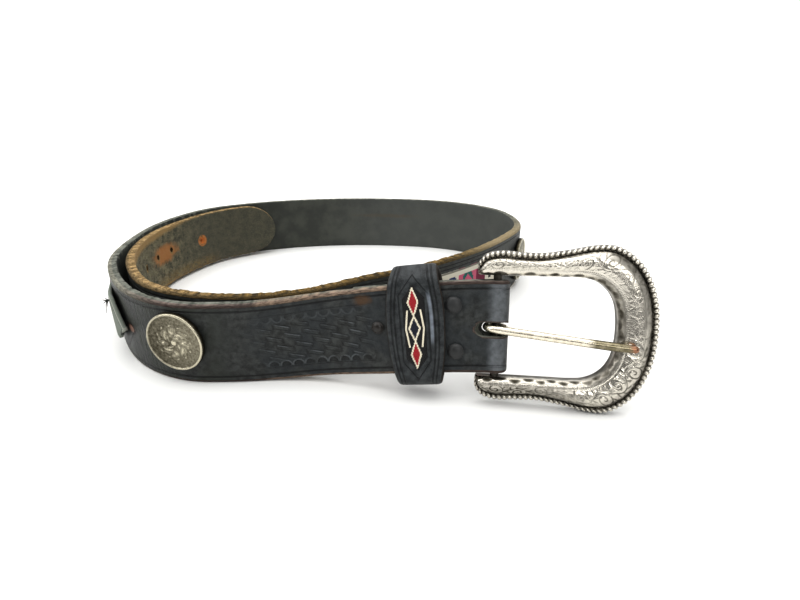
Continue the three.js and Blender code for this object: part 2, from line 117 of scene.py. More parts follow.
def frame_at(s):
    """Where the strap is s mm from the bar: the middle of its grain face, and the unit
    directions along it, up its width and out of its grain face."""
    s = np.asarray(s, float)
    place = np.clip(s, 0, STRAP_LENGTH)
    run = np.clip(place / RISE_RUN, 0, 1)
    ease = (1 - run) ** 2 * (1 + (2 - RISE_START) * run)
    slope = (1 - run) * ((2 - RISE_START) * (1 - 3 * run) - 2)
    lean = (LEAN * ease)[..., None]
    xy = np.stack([np.interp(place, RUN, RUN_POINTS[:, k]) for k in (0, 1)], -1)
    along = np.stack([np.interp(place, RUN, RUN_SLOPES[:, k]) for k in (0, 1)], -1)
    along /= np.linalg.norm(along, axis=-1, keepdims=True)
    inward = np.stack([along[..., 1], -along[..., 0], 0 * s], -1)
    height = RISE * ease + STRAP_WIDTH / 2 * np.cos(lean[..., 0]) + narrowing(s)
    at = np.concatenate([xy, height[..., None]], -1) + CENTRE
    along = np.concatenate([along, (RISE * slope / RISE_RUN)[..., None]], -1)
    along /= np.linalg.norm(along, axis=-1, keepdims=True)
    up = inward * np.sin(lean) + np.array([0, 0, 1.0]) * np.cos(lean)
    up -= along * np.sum(up * along, -1, keepdims=True)
    up /= np.linalg.norm(up, axis=-1, keepdims=True)
    return at, along, up, np.cross(up, along)


print(f"the strap is {STRAP_LENGTH:.0f} mm long from the bar to the tip")

# %% [markdown]
# ## From a grid of points to a mesh
# Every new piece is a grid: one direction runs along a path or round an axis, and the other
# goes round the section. One function turns the grid into quads, and keeps any number that
# a material wants to read, such as the distance along the strap, as an attribute.

# %% Mesh from a grid, and where pieces go
MM = 0.001


def grid_mesh(name, points, wrap_rows=False, wrap_cols=False, caps=False, **values):
    """Quads between neighbouring rows and columns of an (m, n, 3) grid of points in mm.
    wrap joins the last row or column to the first, and caps close a tube's two ends with
    one face each. A closed shell whose signed volume, the sum of face area vectors times
    their middles, comes out negative is turned the right way out. Each value is an (m, n)
    array kept as a point attribute."""
    m, n = points.shape[:2]
    rows = np.arange(m if wrap_rows else m - 1)[:, None]
    cols = np.arange(n if wrap_cols else n - 1)[None, :]
    next_row, next_col = (rows + 1) % m, (cols + 1) % n
    quads = np.stack([rows * n + cols, rows * n + next_col,
                      next_row * n + next_col, next_row * n + cols], -1).reshape(-1, 4)
    p = points.reshape(-1, 3) - points.mean((0, 1))
    a, b, c, d = (p[quads[:, k]] for k in range(4))
    ends = [np.arange(n)[::-1], (m - 1) * n + np.arange(n)] if caps else []
    if (caps or wrap_rows) and np.sum(np.cross(c - a, d - b) * (a + b + c + d)) < 0:
        quads, ends = quads[:, ::-1], [end[::-1] for end in ends]
    corners = np.concatenate([quads.ravel(), *ends])
    totals = np.concatenate([np.full(len(quads), 4), [n] * len(ends)]).astype(int)
    starts = np.cumsum(totals) - totals
    mesh = bpy.data.meshes.new(name)
    mesh.vertices.add(m * n)
    mesh.vertices.foreach_set("co", (points * MM).astype(np.float32).ravel())
    mesh.loops.add(len(corners))
    mesh.loops.foreach_set("vertex_index", corners.astype(np.int32))
    mesh.polygons.add(len(starts))
    mesh.polygons.foreach_set("loop_start", starts.astype(np.int32))
    mesh.polygons.foreach_set("loop_total", totals.astype(np.int32))
    for key, value in values.items():
        layer = mesh.attributes.new(key, "FLOAT", "POINT")
        layer.data.foreach_set("value", np.broadcast_to(value, (m, n)).astype(np.float32).ravel())
    mesh.update(calc_edges=True)
    mesh.shade_smooth()
    piece = bpy.data.objects.new(name, mesh)
    scene.collection.objects.link(piece)
    return piece


def place(piece, body, material, slot, nodes=()):
    """The piece moves with a CAD body, wears a material and stands for CAD nodes."""
    piece.data.materials.clear()
    piece.data.materials.append(material)
    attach(piece, body)
    if nodes:
        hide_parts(*nodes)
    piece.data.calc_loop_triangles()
    print(f"{piece.name}: {len(piece.data.loop_triangles)} triangles")


def ripple(x, seed, waves, shortest, longest):
    """A gentle random line: a sum of sine waves with fixed random phases and lengths."""
    random = np.random.default_rng(seed)
    lengths = np.geomspace(shortest, longest, waves)
    phases = random.uniform(0, 2 * np.pi, waves)
    return sum(np.sin(2 * np.pi * x / w + p) for w, p in zip(lengths, phases)) / waves


# %% [markdown]
# ## Colour and material helpers
# Colours are written as sRGB hex, the way a picker shows them, and turned to linear light
# once. One function adds a node, wires it and gives the value that comes out of it. Values
# add and multiply like numbers, so each material reads as a list of formulas.

# %% Helpers for materials
def linear(code):
    """sRGB hex to linear: divide by 12.92 below 0.04045, else ((v + 0.055) / 1.055) ^ 2.4."""
    v = np.array([int(code[i:i + 2], 16) / 255 for i in (1, 3, 5)])
    v = np.where(v <= 0.04045, v / 12.92, ((v + 0.055) / 1.055) ** 2.4)
    return (*v, 1.0)


class Value:
    """What a node gives. Each sign of arithmetic with it adds that sign's Math node."""

    def __init__(self, socket):
        self.socket = socket

    def __abs__(self):
        return add("ABSOLUTE", self)


for sign, operation in dict(add="ADD", sub="SUBTRACT", mul="MULTIPLY", truediv="DIVIDE").items():
    setattr(Value, f"__{sign}__", lambda a, b, kind=operation: add(kind, a, b))
    setattr(Value, f"__r{sign}__", lambda a, b, kind=operation: add(kind, b, a))

# The tree of the material at hand, and short names for three nodes: the node, the output
# in use, the order of its inputs and its settings. A mix goes from one colour to another
# by its share. An ease goes smoothly from 0 to 1, or from low to high, between two values.
# A noise has so many lumps per millimetre, then its detail and its roughness.
BENCH = {}
SHORT = {"mix": ("Mix", 2, (0, 6, 7), {"data_type": "RGBA"}),
         "ease": ("MapRange", 0, range(5), {"interpolation_type": "SMOOTHSTEP"}),
         "noise": ("TexNoise", 0, (0, 2, 3, 4), {"Detail": 4.0})}


def add(kind, *inputs, out=0, **settings):
    """Adds a node: a kind, a short name, or in capitals the operation of a Math node.
    Settings named after one of the node's own properties set it, and any other name is an
    input. Inputs are values, numbers or hex colours."""
    if kind.isupper():
        kind, settings = "Math", {"operation": kind}
    kind, out, order, first = SHORT.get(kind, (kind, out, range(len(inputs)), {}))
    node = BENCH["tree"].nodes.new("ShaderNode" + kind)
    sockets = {}
    for key, value in {**first, **settings}.items():
        if hasattr(node, key):
            setattr(node, key, value)
        else:
            sockets[key.replace("_", " ")] = value
    for key, value in [*sockets.items(), *zip(order, inputs)]:
        if isinstance(value, Value):
            BENCH["tree"].links.new(value.socket, node.inputs[key])
        elif value is not None:
            node.inputs[key].default_value = linear(value) if isinstance(value, str) else value
    return Value(node.outputs[out]) if node.outputs else None


def new_material(name):
    """An empty material, whose tree takes the nodes that are added from here on."""
    material = bpy.data.materials.new(name)
    material.use_nodes = True
    BENCH["tree"] = material.node_tree
    BENCH["tree"].nodes.clear()
    return material


def in_mm():
    """Where a point is on the object, in millimetres."""
    return add("Mapping", add("TexCoord", out="Object"), Scale=(1000, 1000, 1000))


def band(value, low, high, soft):
    """1 where value is between low and high, easing to 0 over soft on both sides."""
    return add("ease", value, low - soft, low) * add("ease", value, high, high + soft, 1, 0)


def finish_with(colour, rough, height=None, **settings):
    """Joins colour, roughness and a bump height in mm to the shader and the output."""
    normal = None
    if height is not None:
        normal = add("Bump", Strength=1, Distance=MM, Height=height)
    shader = add("BsdfPrincipled", Base_Color=colour, Roughness=rough, Normal=normal, **settings)
    add("OutputMaterial", shader)

# %% [markdown]
# ## The strap
# Real belts of this kind are two layers of leather glued and stitched into one strap, with
# a rounded, burnished edge on the grain side. The section is drawn once, in height across
# the belt and depth below the grain face, and swept from the folded end round the bar to
# the tip. The fold and the run share one list of sections, so the grain never breaks.

# %% The section of the strap
def strap_section():
    """Once round the strap's edge-on outline. Height is side x (half width - inset), and
    depth is share x thickness + extra: the grain face from top to bottom, a quarter circle
    of 1.3 mm, the cut edge with a shallow glue line, the flesh face, and back up."""
    turn = np.linspace(0, np.pi / 2, 6)[1:]
    edge = np.linspace(0, 1, 7)[1:-1]
    bevel, back = 1.3, 0.5
    glue_line = 0.22 * np.exp(-((edge - 0.35) / 0.16) ** 2)
    face, flesh = np.linspace(1, -1, 41), np.linspace(-1, 1, 15)[1:-1]
    side = np.concatenate([face, -np.ones(15), flesh])
    inset = np.concatenate([np.full(41, bevel), bevel * (1 - np.sin(turn)), glue_line,
                            back * (1 - np.cos(turn)), np.full(13, back)])
    share = np.concatenate([np.zeros(46), edge, np.ones(18)])
    extra = np.concatenate([np.zeros(41), bevel * (1 - np.cos(turn)),
                            bevel * (1 - edge) - back * edge, -back * (1 - np.sin(turn)), np.zeros(13)])
    top = slice(55, 40, -1)
    return [np.concatenate([a, sign * a[top]])
            for a, sign in ((side, -1), (inset, 1), (share, 1), (extra, 1))]


SIDE, INSET, SHARE, DEPTH = strap_section()


def sweep_strap(at, up, out, half, thick, torn, notched):
    """Each section is set on its frame: height = side x (half width - inset), and depth =
    share x thickness + extra. The cut edge rises and falls with torn fibres, and its inner
    corner has small notches."""
    corner = (np.abs(SIDE) == 1) & (INSET < 0.5)
    cut = (SHARE > 0.1) & corner
    height = SIDE * (half[:, None] - INSET + cut * torn[:, None])
    depth = SHARE * (thick - (SIDE > 0) * (SHARE == 1) * corner * notched[:, None]) + DEPTH
    return at[:, None] + up[:, None] * height[..., None] - out[:, None] * depth[..., None], height, depth


def strap_sections():
    """Three stretches end to end: the folded back end under the strap, half a turn round
    the bar, and the long run that narrows to a rounded tip."""
    back_s = np.linspace(FOLD_LENGTH, 0, 40)
    at, along, up, out = frame_at(back_s)
    whole = FOLD_THICK + (STRAP_THICK - FOLD_THICK) * smooth(back_s / FOLD_BLEND)
    pressed = whole + FOLD_GAP + FOLD_THICK
    apart = 2 * FOLD_OUTER + (pressed - 2 * FOLD_OUTER) * smooth(back_s / FOLD_BLEND)
    stretches = [(at - out * apart[:, None], up, -out, -back_s - np.pi * FOLD_OUTER)]
    turn = np.pi * (1 - np.arange(1, 18) / 18)[:, None]
    along0, up0, out0 = along[-1], up[-1], out[-1]
    round_bar = out0 * np.cos(turn) - along0 * np.sin(turn)
    bar = at[-1] - out0 * FOLD_OUTER
    stretches.append((bar + round_bar * FOLD_OUTER, np.broadcast_to(up0, round_bar.shape), round_bar,
                      -turn[:, 0] * FOLD_OUTER))
    nose = TIP_ROUND * (1 - np.sin(np.linspace(0, np.pi / 2, 26)[1:]))
    run_s = np.concatenate([np.linspace(0, STRAP_LENGTH - TIP_ROUND, 760), STRAP_LENGTH - nose])
    at, along, up, out = frame_at(run_s)
    stretches.append((at, up, out, run_s))
    at, up, out, s = (np.concatenate(parts) for parts in zip(*stretches))
    thick = FOLD_THICK + (STRAP_THICK - FOLD_THICK) * smooth(s / FOLD_BLEND)
    left = np.clip((STRAP_LENGTH - s) / TIP_ROUND, 0, 1)
    half = (STRAP_WIDTH / 2 - narrowing(s)) * np.maximum(0.06, np.sqrt(1 - (1 - left) ** 2.3))
    return at, up, out, s, thick, half


def vertex_places(mesh):
    """The vertices' places, and one whole number each that only the same place gives."""
    flat = np.empty(3 * len(mesh.vertices))
    mesh.vertices.foreach_get("co", flat)
    places = flat.reshape(-1, 3)
    return places, np.round(places * 1e6).astype(np.int64) @ np.array([1, 2 ** 20, 2 ** 40])


def cut_with(piece, cutters):
    """Takes the cutters out of the piece with an exact boolean, and removes them. The
    boolean doesn't carry the cutters' attributes over, so each vertex that the piece
    didn't have before takes the nearest cutter's first values."""
    for cutter in cutters:
        tool = piece.modifiers.new("cut", "BOOLEAN")
        tool.operation, tool.solver, tool.object = "DIFFERENCE", "EXACT", cutter
    graph = bpy.context.evaluated_depsgraph_get()
    shape = bpy.data.meshes.new_from_object(piece.evaluated_get(graph))
    places, keys = vertex_places(shape)
    fresh = ~np.isin(keys, vertex_places(piece.data)[1])
    centres = np.stack([vertex_places(cutter.data)[0].mean(0) for cutter in cutters])
    nearest = np.linalg.norm(places[:, None] - centres, axis=2).argmin(1)
    for name in ("strap_s", "strap_h", "strap_d"):
        values = np.empty(len(places))
        shape.attributes[name].data.foreach_get("value", values)
        own = np.array([cutter.data.attributes[name].data[0].value for cutter in cutters])
        shape.attributes[name].data.foreach_set("value", np.where(fresh, own[nearest], values))
    print(f"{piece.name}: {fresh.sum()} of {len(places)} vertices are the cutters' own")
    piece.modifiers.clear()
    piece.data = shape
    for cutter in cutters:
        bpy.data.objects.remove(cutter)


def on_strap(s, height, out_by):
    """Points at the given places along, up and out of the strap's grain face."""
    at, along, up, out = frame_at(s)
    return at + up * np.asarray(height)[..., None] + out * np.asarray(out_by)[..., None]


def prism(name, s, outline, low, high):
    """A straight cutter from low to high out of the grain face, round an outline in mm of
    (towards the buckle, up). Its walls count as leather half way into the thickness, at a
    height that nothing else has, by which the material knows them."""
    at, along, up, out = frame_at(float(s))
    ring = at - along * outline[:, :1] + up * outline[:, 1:]
    layers = np.stack([ring + out * low, ring + out * high])
    return grid_mesh(name, layers, wrap_cols=True, caps=True,
                     strap_s=float(s), strap_h=WALL_HEIGHT, strap_d=0.5)


def disc(radius, up):
    """A circle as an outline, centred up mm from the strap's middle."""
    a = np.linspace(0, 2 * np.pi, 32, endpoint=False)
    return np.stack([radius * np.cos(a), up + radius * np.sin(a)], 1)


def slot_outline(reach, height):
    """One step of the prong's slot, round towards the strap and open past the fold."""
    a = np.linspace(np.pi / 2, 1.5 * np.pi, 17)
    past = 6.0 + 0.15 * reach
    x = np.concatenate([[past], height / 2 - reach + height / 2 * np.cos(a), [past]])
    y = np.concatenate([[height / 2], height / 2 * np.sin(a), [-height / 2]])
    return np.stack([x, y + PRONG_START], 1)


# %% Sweep the strap and punch it
# The slot's steps: reach from the bar, height, depth. The holes: distance from the tip,
# height from the middle, radius. The first hole is wider in the lining. WALL_HEIGHT marks
# the walls of all of them for the material.
SLOT = np.array([[5.9, 4.8, 15], [7.2, 4.9, 4.7], [8.5, 5.9, 3.9]])
PRONG_DROP, PRONG_START = math.radians(5.4), -0.8
HOLES = np.array([[61, 0.5, 1.1], [92, 3, 1.3], [109, 3, 1.3], [129, 3, 1.3]])
WIDE_HOLE, WIDE_DEPTH = 2.3, 0.9
WALL_HEIGHT = 40.0

at, up, out, strap_s, thick, half = strap_sections()
raw = smooth((strap_s - 560) / 160)
torn = ripple(strap_s, 5, 9, 1.6, 22) * (0.12 + 0.55 * raw) * smooth(strap_s / 30)
notched = np.maximum(0, ripple(strap_s, 8, 9, 2.5, 14)) * 2.2
notched = notched * smooth((strap_s - 120) / 40) * smooth((370 - strap_s) / 60)
points, height, depth = sweep_strap(at, up, out, half, thick[:, None], torn, notched)
strap = grid_mesh("strap_leather", points, wrap_cols=True, caps=True, strap_s=strap_s[:, None],
                  strap_h=height, strap_d=depth / thick[:, None])
cutters = [prism("hole", STRAP_LENGTH - back, disc(radius, up_by), -7, 3)
           for back, up_by, radius in HOLES]
cutters.append(prism("hole", STRAP_LENGTH - HOLES[0, 0], disc(WIDE_HOLE, HOLES[0, 1]),
                     -7.2, WIDE_DEPTH - STRAP_THICK))
cutters += [prism("slot", 0, slot_outline(reach, tall), -deep, 4 + reach / 8)
            for reach, tall, deep in SLOT]
cut_with(strap, cutters)
print("holes at", HOLES[:, 0], "mm from the tip")

# %% [markdown]
# ## Black tooled leather
# The grain side is vegetable-tanned leather, dyed black and waxed: a dielectric with an IOR
# near 1.5, which shows a soft grey sheen at a slant. Its tooling is stamped: slanted basket
# stamps in rows that step up towards the buckle, between two rows of half-moon stamps, and
# bevelled lines along both edges. All of it is worked out from two numbers stored on the
# mesh, the distance along the strap and the height from its middle, both in millimetres, so
# it follows every bend. The cut edges are burnished brown where the outer wrap was
# finished, and raw tan fibre further in.

# %% The strap's leather
# The medallions: distance from the bar, height from the strap's middle. A panel's middle
# comes so far after each of them, and it has a length, long points and half a width.
MEDALLIONS = np.array([[136.8, 2], [300.2, 0], [463.6, 0], [627, -1.5]])
PANEL_AFTER, PANEL_LENGTH, PANEL_POINT, PANEL_HALF = 83.7, 102.0, 13.0, 12.0
STAMP_APART, ROW_APART, ROW_RISE, STAMP_SLANT = 8.2, 5.0, 0.12, 0.42
MOON_APART, MOON_BASE = 5.2, 11.7
# Where the surface changes, from and to, in mm from the bar: the cut edge from finished to
# raw, the back from smooth to rough, and the last stretch by the holes
EDGE_RAW, BACK_ROUGH, BACK_LAST = (590, 650), (800, 900), (960, 1010)
# Marks of wear: along, up, half length and half height. The stain is measured from the tip.
SCUFF, BURN = (53, 14.5, 4.6, 2.6), (169.6, -0.2, 4.6, 2.8)
SCRAPE, STAIN = (480, 6, 40, 2.4), (100.5, 2.5, 15, 6)


def basket(s, h):
    """Slanted stamps. Rows 5 mm apart rise by 0.12 mm per mm towards the buckle, and stamps
    8.2 mm apart are staggered from row to row. Each stamp is a groove round a slanted
    rectangle, where the larger of |x|/4 and |y|/1.2 is near 1, with a raised lip along its
    upper long side. Returns the groove and the lip."""
    v = (h + s * ROW_RISE + 100) / ROW_APART
    u = s / STAMP_APART + add("FLOOR", v) * 0.5
    x = (add("FRACT", u) - 0.5) * STAMP_APART
    y = (add("FRACT", v) - 0.5) * ROW_APART - x * STAMP_SLANT
    reach = add("MAXIMUM", abs(x / 4), abs(y / 1.2))
    lip = band(y, 0.45, 0.8, 0.3) * add("ease", abs(x), 3.2, 3.8, 1, 0)
    return band(reach, 0.86, 1.02, 0.22), lip


def half_moons(s, high):
    """Half discs 5.2 mm apart whose flat side is 11.7 mm from the middle of the strap, and
    the raised rim round each of them."""
    x = add("MODULO", s + 400, MOON_APART) - MOON_APART / 2
    spot = add("CombineXYZ", x, high - MOON_BASE, 0)
    away = add("VectorMath", spot, operation="LENGTH", out="Value")
    inner = add("ease", high, MOON_BASE, MOON_BASE + 0.3, 1, 0)
    return add("ease", away, 1.5, 2.1, 1, 0) * inner, band(away, 2.2, 2.5, 0.4) * inner


def beside_panels(s, high):
    """How far a point lies outside the nearest panel's hexagon, in mm."""
    pitch = MEDALLIONS[1, 0] - MEDALLIONS[0, 0]
    away = abs(add("MODULO", s - (MEDALLIONS[0, 0] - pitch), pitch) - PANEL_AFTER)
    share = (PANEL_LENGTH / 2 + 2.5 - away) / PANEL_POINT
    return high - add("MINIMUM", share, 1) * PANEL_HALF


def spot_at(flat, at_s, at_h, wide, tall):
    """Distance from one place on the strap as a share of an ellipse's half axes."""
    away = add("VectorMath", flat, (at_s, at_h, 0), operation="SUBTRACT")
    away = add("VectorMath", away, (1 / wide, 1 / tall, 1), operation="MULTIPLY")
    return add("VectorMath", away, operation="LENGTH", out="Value")


def edge_colour(s, d, streaks, fine):
    """The cut edge: burnished brown by the grain and grey by the flesh on the outer wrap,
    rubbed in patches by the buckle, and raw tan where the strap was never finished."""
    soft, hard = add("ease", streaks, 0.3, 0.7), add("ease", streaks, 0.36, 0.62)
    burnished = add("mix", soft, "#3b3432", "#7d7068")
    burnished = add("mix", add("ease", d, 0.02, 0.2, 0.7, 0), burnished, "#2a1e1a")
    bare = add("mix", soft, "#57584d", "#98978a")
    burnished = add("mix", add("ease", s, 140, 185) * 0.85, burnished, bare)
    finished = add("mix", add("ease", d, 0.38, 0.5), burnished, add("mix", soft, "#43463f", "#7f8077"))
    finished = add("mix", band(s, 40, 96, 8) * soft * 0.75, finished, "#a08b76")
    deep, light = add("mix", hard, "#2b2312", "#8a7142"), add("mix", hard, "#57462a", "#b79c6f")
    raw = add("mix", band(s, 862, 1070, 45), deep, light)
    raw = add("mix", add("ease", d, 0.1, 0.5, 0.55, 0), raw, "#3a3322")
    raw = add("mix", add("ease", fine, 0.45, 0.6, 0, 0.6), raw, "#241b0f")
    raw = add("mix", add("ease", s, 655, 705), add("mix", streaks, "#66593f", "#a5977a"), raw)
    return add("mix", add("ease", s, *EDGE_RAW), finished, raw)


def lining_colour(s, h, high, flat, creases, streaks, fine):
    """The flesh side: near-black suede, olive by the tip with a tan border, orange stains
    round the holes and a paler scrape on the far wrap."""
    clouded = add("ease", add("noise", flat, 0.07, 3) + creases * 0.3, 0.5, 0.8)
    lining = add("mix", clouded, "#3b3d39", "#494b45")
    lining = add("mix", add("ease", s, 410, 500) * 0.55, lining, "#5c5e5c")
    olive = add("mix", add("ease", add("noise", flat, 0.16, 9, 0.8), 0.38, 0.62), "#2e2f26", "#736d56")
    pale = add("ease", add("noise", flat, 1.3, 4, 0.7), 0.53, 0.64, 0, 0.65)
    dark = add("ease", add("noise", flat, 0.9, 4, 0.7), 0.45, 0.36, 0, 0.7)
    olive = add("mix", dark, add("mix", pale, olive, "#a59e86"), "#23241b")
    # Towards the tip the suede shows wear, with a finer, greyer grain.
    wear_and_painted_light = add("ease", s + creases * 60, 990, 1050) * 0.75
    olive = add("mix", wear_and_painted_light, olive, add("mix", fine, "#35362f", "#5b594d"))
    lining = add("mix", add("ease", s, *BACK_ROUGH), lining, olive)
    ragged = (high + streaks * 5 + fine * 2 + add("ease", s, *BACK_LAST, 0, -1.6)
              + add("ease", h, 0, 5) * add("ease", s, *BACK_LAST, 2.2, 0))
    border = add("ease", ragged, 18.8, 21.2) * add("ease", s, 640, 760)
    lining = add("mix", border, lining, add("mix", fine, "#5a482b", "#ab9064"))
    below = add("ease", h, -9, -15) * band(s, 955, 1010, 15) * add("ease", streaks, 0.4, 0.6)
    lining = add("mix", below * 0.7, lining, "#8a7349")
    from_tip = add("CombineXYZ", STRAP_LENGTH - s, h, 0)
    stain = spot_at(from_tip, *STAIN) + (creases - 0.5) * 1.2 + (fine - 0.5)
    orange = add("mix", fine, "#7d4f22", "#b58150")
    lining = add("mix", add("ease", stain, 0.65, 1.2, 0.85, 0), lining, orange)
    ring = spot_at(from_tip, *HOLES[0, :2], 1, 1) + streaks * 1.5
    lining = add("mix", add("ease", ring, 4, 5.2, 0.8, 0), lining, add("mix", fine, "#a5602a", "#d08a4c"))
    scrape = spot_at(flat, *SCRAPE) + creases * 1.2
    return add("mix", add("ease", scrape, 0.8, 1.5, 0.35, 0), lining, "#5a4f40")


def strap_leather():
    """Waxed black grain with stamped tooling, cut edges, and a suede back."""
    material = new_material("black_veg_tan_leather")
    s, h, d = (add("Attribute", attribute_name=key, out="Fac") for key in ("strap_s", "strap_h", "strap_d"))
    flat, high = add("CombineXYZ", s, h, 0), abs(h)
    grain = add("ease", d, 0.01, 0.06, 1, 0) * add("ease", high, 17.5, 17.8, 1, 0)
    flesh = add("ease", d, 0.93, 0.99)
    creases, fine = add("noise", flat, 0.3, 6, 0.6), add("noise", flat, 3.5, 3)
    streaks = add("noise", add("Mapping", flat, Scale=(0.35, 2.2, 1)), 1, 5, 0.65)
    lumps = add("ease", creases, 0.3, 0.7)

    # The stamps: how far each is pressed in, and how far the leather is raised beside it
    groove, lip = basket(s, h)
    moons, rims = half_moons(s, high)
    middle = add("ease", high, 8.2, 9.2, 1, 0)
    near = add("ease", s, 49, 54) * add("ease", s, 90, 112, 1, 0)
    tooled = add("MAXIMUM", near, band(s, 790, 1035, 8))
    faded = add("ease", add("ease", h, 0, 4) * add("ease", s, 300, 500, 1, 0), 0, 1, 0.7, 0.3)
    border = add("MAXIMUM", moons * faded, band(high, 12.4, 12.7, 0.3) * 0.4)
    stamps = add("MAXIMUM", groove * middle * 0.55, border) * tooled
    raised = add("MAXIMUM", lip * middle, rims * faded) * tooled * grain * 0.7
    outside = beside_panels(s, high)
    framed = band(outside, 1.5, 2, 0.3) * band(s, 140, 780, 1)
    pressed = add("MAXIMUM", add("MAXIMUM", stamps, band(high, 15.6, 16, 0.35)), framed) * grain

    wrinkles = add("noise", add("Mapping", flat, Scale=(0.9, 0.09, 1)), 1, 4, 0.6)
    pores = add("TexVoronoi", flat, Scale=1.4, feature="F1")
    smooth_back = flesh * add("ease", s, *BACK_ROUGH, 1, 0)
    surface = (pressed * -0.55 + raised * 0.3 + pores * 0.05
               + creases * add("ease", smooth_back, 0, 1, 0.3, 0.1)
               + wrinkles * band(s, 146, 170, 8) * grain * 0.8
               + (1 - grain) * fine * add("ease", smooth_back, 0, 1, 0.4, 0.12))

    black = add("mix", lumps, "#1b1c1b", "#404241")
    cast = add("mix", add("ease", s, 95, 130), "#262b2f", "#2d3028")
    black = add("mix", add("ease", add("noise", flat, 0.07, 3), 0.4, 0.6) * 0.6, black, cast)
    black = add("mix", add("ease", fine, 0.4, 0.75) * 0.35, black, "#4d4f4d")
    # Painted highlight: the raised lips of the stamps are painted lighter grey in noise patches, standing
    # in for the light on their edges, partly wear.
    wear_and_painted_light = add("ease", add("noise", flat, 0.14, 4, 0.6), 0.42, 0.62)
    black = add("mix", raised * (wear_and_painted_light * 0.7 + 0.2), black, "#64686a")
    # Painted shade: the pressed stamps, the edge lines and the frames round the panels are painted
    # near-black.
    black = add("mix", pressed * 0.7, black, "#080808")
    scuff = spot_at(flat, *SCUFF) + fine + creases * 0.8
    burn = spot_at(flat, *BURN)
    # Painted shadow: a near-black strip on the leather beside the first panel's lifted end.
    painted_panel_shadow = band(outside, -6, 1.6, 0.6) * band(s, 176, 215, 5)
    for share, shade in ((add("ease", scuff, 1.4, 2, 0.8, 0), "#4f3a26"),
                         (add("ease", burn, 0.95, 1.25, 0.9, 0), "#1d110c"),
                         (add("ease", burn, 0.5, 0.8, 1, 0), "#7f6457"),
                         # Painted highlight: a grey-blue band along the fold's nose, where it turns round
                         # the bar.
                         (band(s, -2, 0.5, 4) * creases, "#787c80"),
                         # the painted shadow beside the first panel
                         (painted_panel_shadow * 0.8, "#080908")):
        black = add("mix", share, black, shade)

    punched = add("ease", high, WALL_HEIGHT - 10, WALL_HEIGHT - 5) * add("ease", s, 900, 950)
    # Painted shade: the walls of the smaller holes are painted dark brown. The widest hole's walls keep the
    # raw leather's orange.
    inside = add("mix", add("ease", s, 985, 1000), "#3a2814", add("mix", fine, "#a55f30", "#cf8c52"))
    edge = add("mix", punched, edge_colour(s, d, streaks, fine), inside)
    colour = add("mix", grain, edge, black)
    colour = add("mix", flesh, colour, lining_colour(s, h, high, flat, creases, streaks, fine))
    rough = add("ease", grain, 0, 1, 0.85, 0.42) + flesh * -0.25 + (creases - 0.5) * 0.3
    finish_with(colour, rough, surface, IOR=1.45, Specular_IOR_Level=0.25)
    return material


LEATHER = strap_leather()
place(strap, "strap", LEATHER, "leather", ["strap"])

# %% [markdown]
# ## Woven panels
# Each panel is a strip of tapestry weave set into a window in the leather, a long hexagon
# whose points face the medallions. Its geometric design is worked out from the same two
# numbers as the leather, in millimetres: plain bands and stepped diamonds in red, cream,
# navy, teal and pink, with a cream border. Wool is matt and has a fine rib.

# %% Panels and their cloth
def woven_cloth(name, x, y, plan, ground, step, lines=(), painted_sheen=None):
    """Each row of the plan is (middle, half length, half height, colour) in mm along the
    strip: a diamond, or a whole band where the height is 0. Later rows lie on earlier ones.
    Lines are (distance from the edge, half width, colour, reach along). The last argument,
    when given, is a colour and a place: a painted sheen, as the weave shows at a grazing
    angle, that hides the plan up to a ragged edge about so many mm along."""
    material = new_material(name)
    s, h, edge = (add("Attribute", attribute_name=key, out="Fac") for key in (x, y, "cloth_edge"))
    s_step = add("SNAP", s + 500, step) - 500
    h_step = abs(add("SNAP", h + 500, step) - 500)
    flat, colour = add("CombineXYZ", s, h, 0), ground
    for middle, long, tall, shade in plan:
        away = abs(s_step - middle) / long
        away = away + h_step / tall if tall else away
        colour = add("mix", add("LESS_THAN", away, 1), colour, shade)
    # A painted sheen: the given colour covers the plan up to a ragged edge.
    if painted_sheen:
        ragged = s + (add("noise", flat, 0.25, 4, 0.7) - 0.5) * 30
        colour = add("mix", add("ease", ragged, painted_sheen[1] - 5, painted_sheen[1] + 5, 1, 0), colour, painted_sheen[0])
    for inside, wide, shade, reach in lines:
        line = band(edge, inside - wide, inside + wide, 0.12) * add("LESS_THAN", abs(s), reach)
        colour = add("mix", line, colour, shade)
    wool = add("noise", flat, 2.2)
    colour = add("mix", wool * 0.3, colour, "#15120f")
    weave = add("SINE", s * 7) * add("SINE", h * 7)
    finish_with(colour, 0.9, weave * 0.12 + wool * 0.2, IOR=1.5)
    return material


RED, CREAM, NAVY, TEAL, PINK, PLUM = "#a3202a", "#d5d0c0", "#22345c", "#1c6560", "#c4607a", "#6d1c3a"
END = [(46.5, 6.5, 0, CREAM), (41, 1.6, 1.4, "#20231f"), (31.5, 4.5, 0, PLUM), (19.5, 7.5, 0, PINK),
       (19.5, 6.5, 16, TEAL), (19.5, 6.5, 7, PINK), (7, 6, 12, NAVY), (7, 3, 4, CREAM)]
PANEL_PLAN = [row for side in (-1, 1) for row in [(side * m, a, b, c) for m, a, b, c in END]]
PANEL_PLAN += [(0, 4.5, 9, RED), (0, 2.5, 4, "#15161a")]
BORDER = [(2.2, 1.2, CREAM, 60), (0.5, 0.4, "#7d7a70", 60)]
WOOL = woven_cloth("wool_tapestry", "panel_s", "strap_h", PANEL_PLAN, CREAM, 0.9, BORDER)
# The first panel's lifted end is painted grey-green to about 14 mm short of its middle: a painted sheen
# over the weave.
PAINTED_SHEEN_WOOL = woven_cloth("wool_tapestry_painted_sheen", "panel_s", "strap_h", PANEL_PLAN, CREAM, 0.9,
                     [(1.5, 0.3, "#3c3f39", 60), (0.6, 0.45, "#a3a69b", 60)], ("#7f857b", -14))
PANEL_PROUD, PANEL_DEEP, LIFTED, LIFT_FADE = 0.5, 0.9, 14.0, 24.0


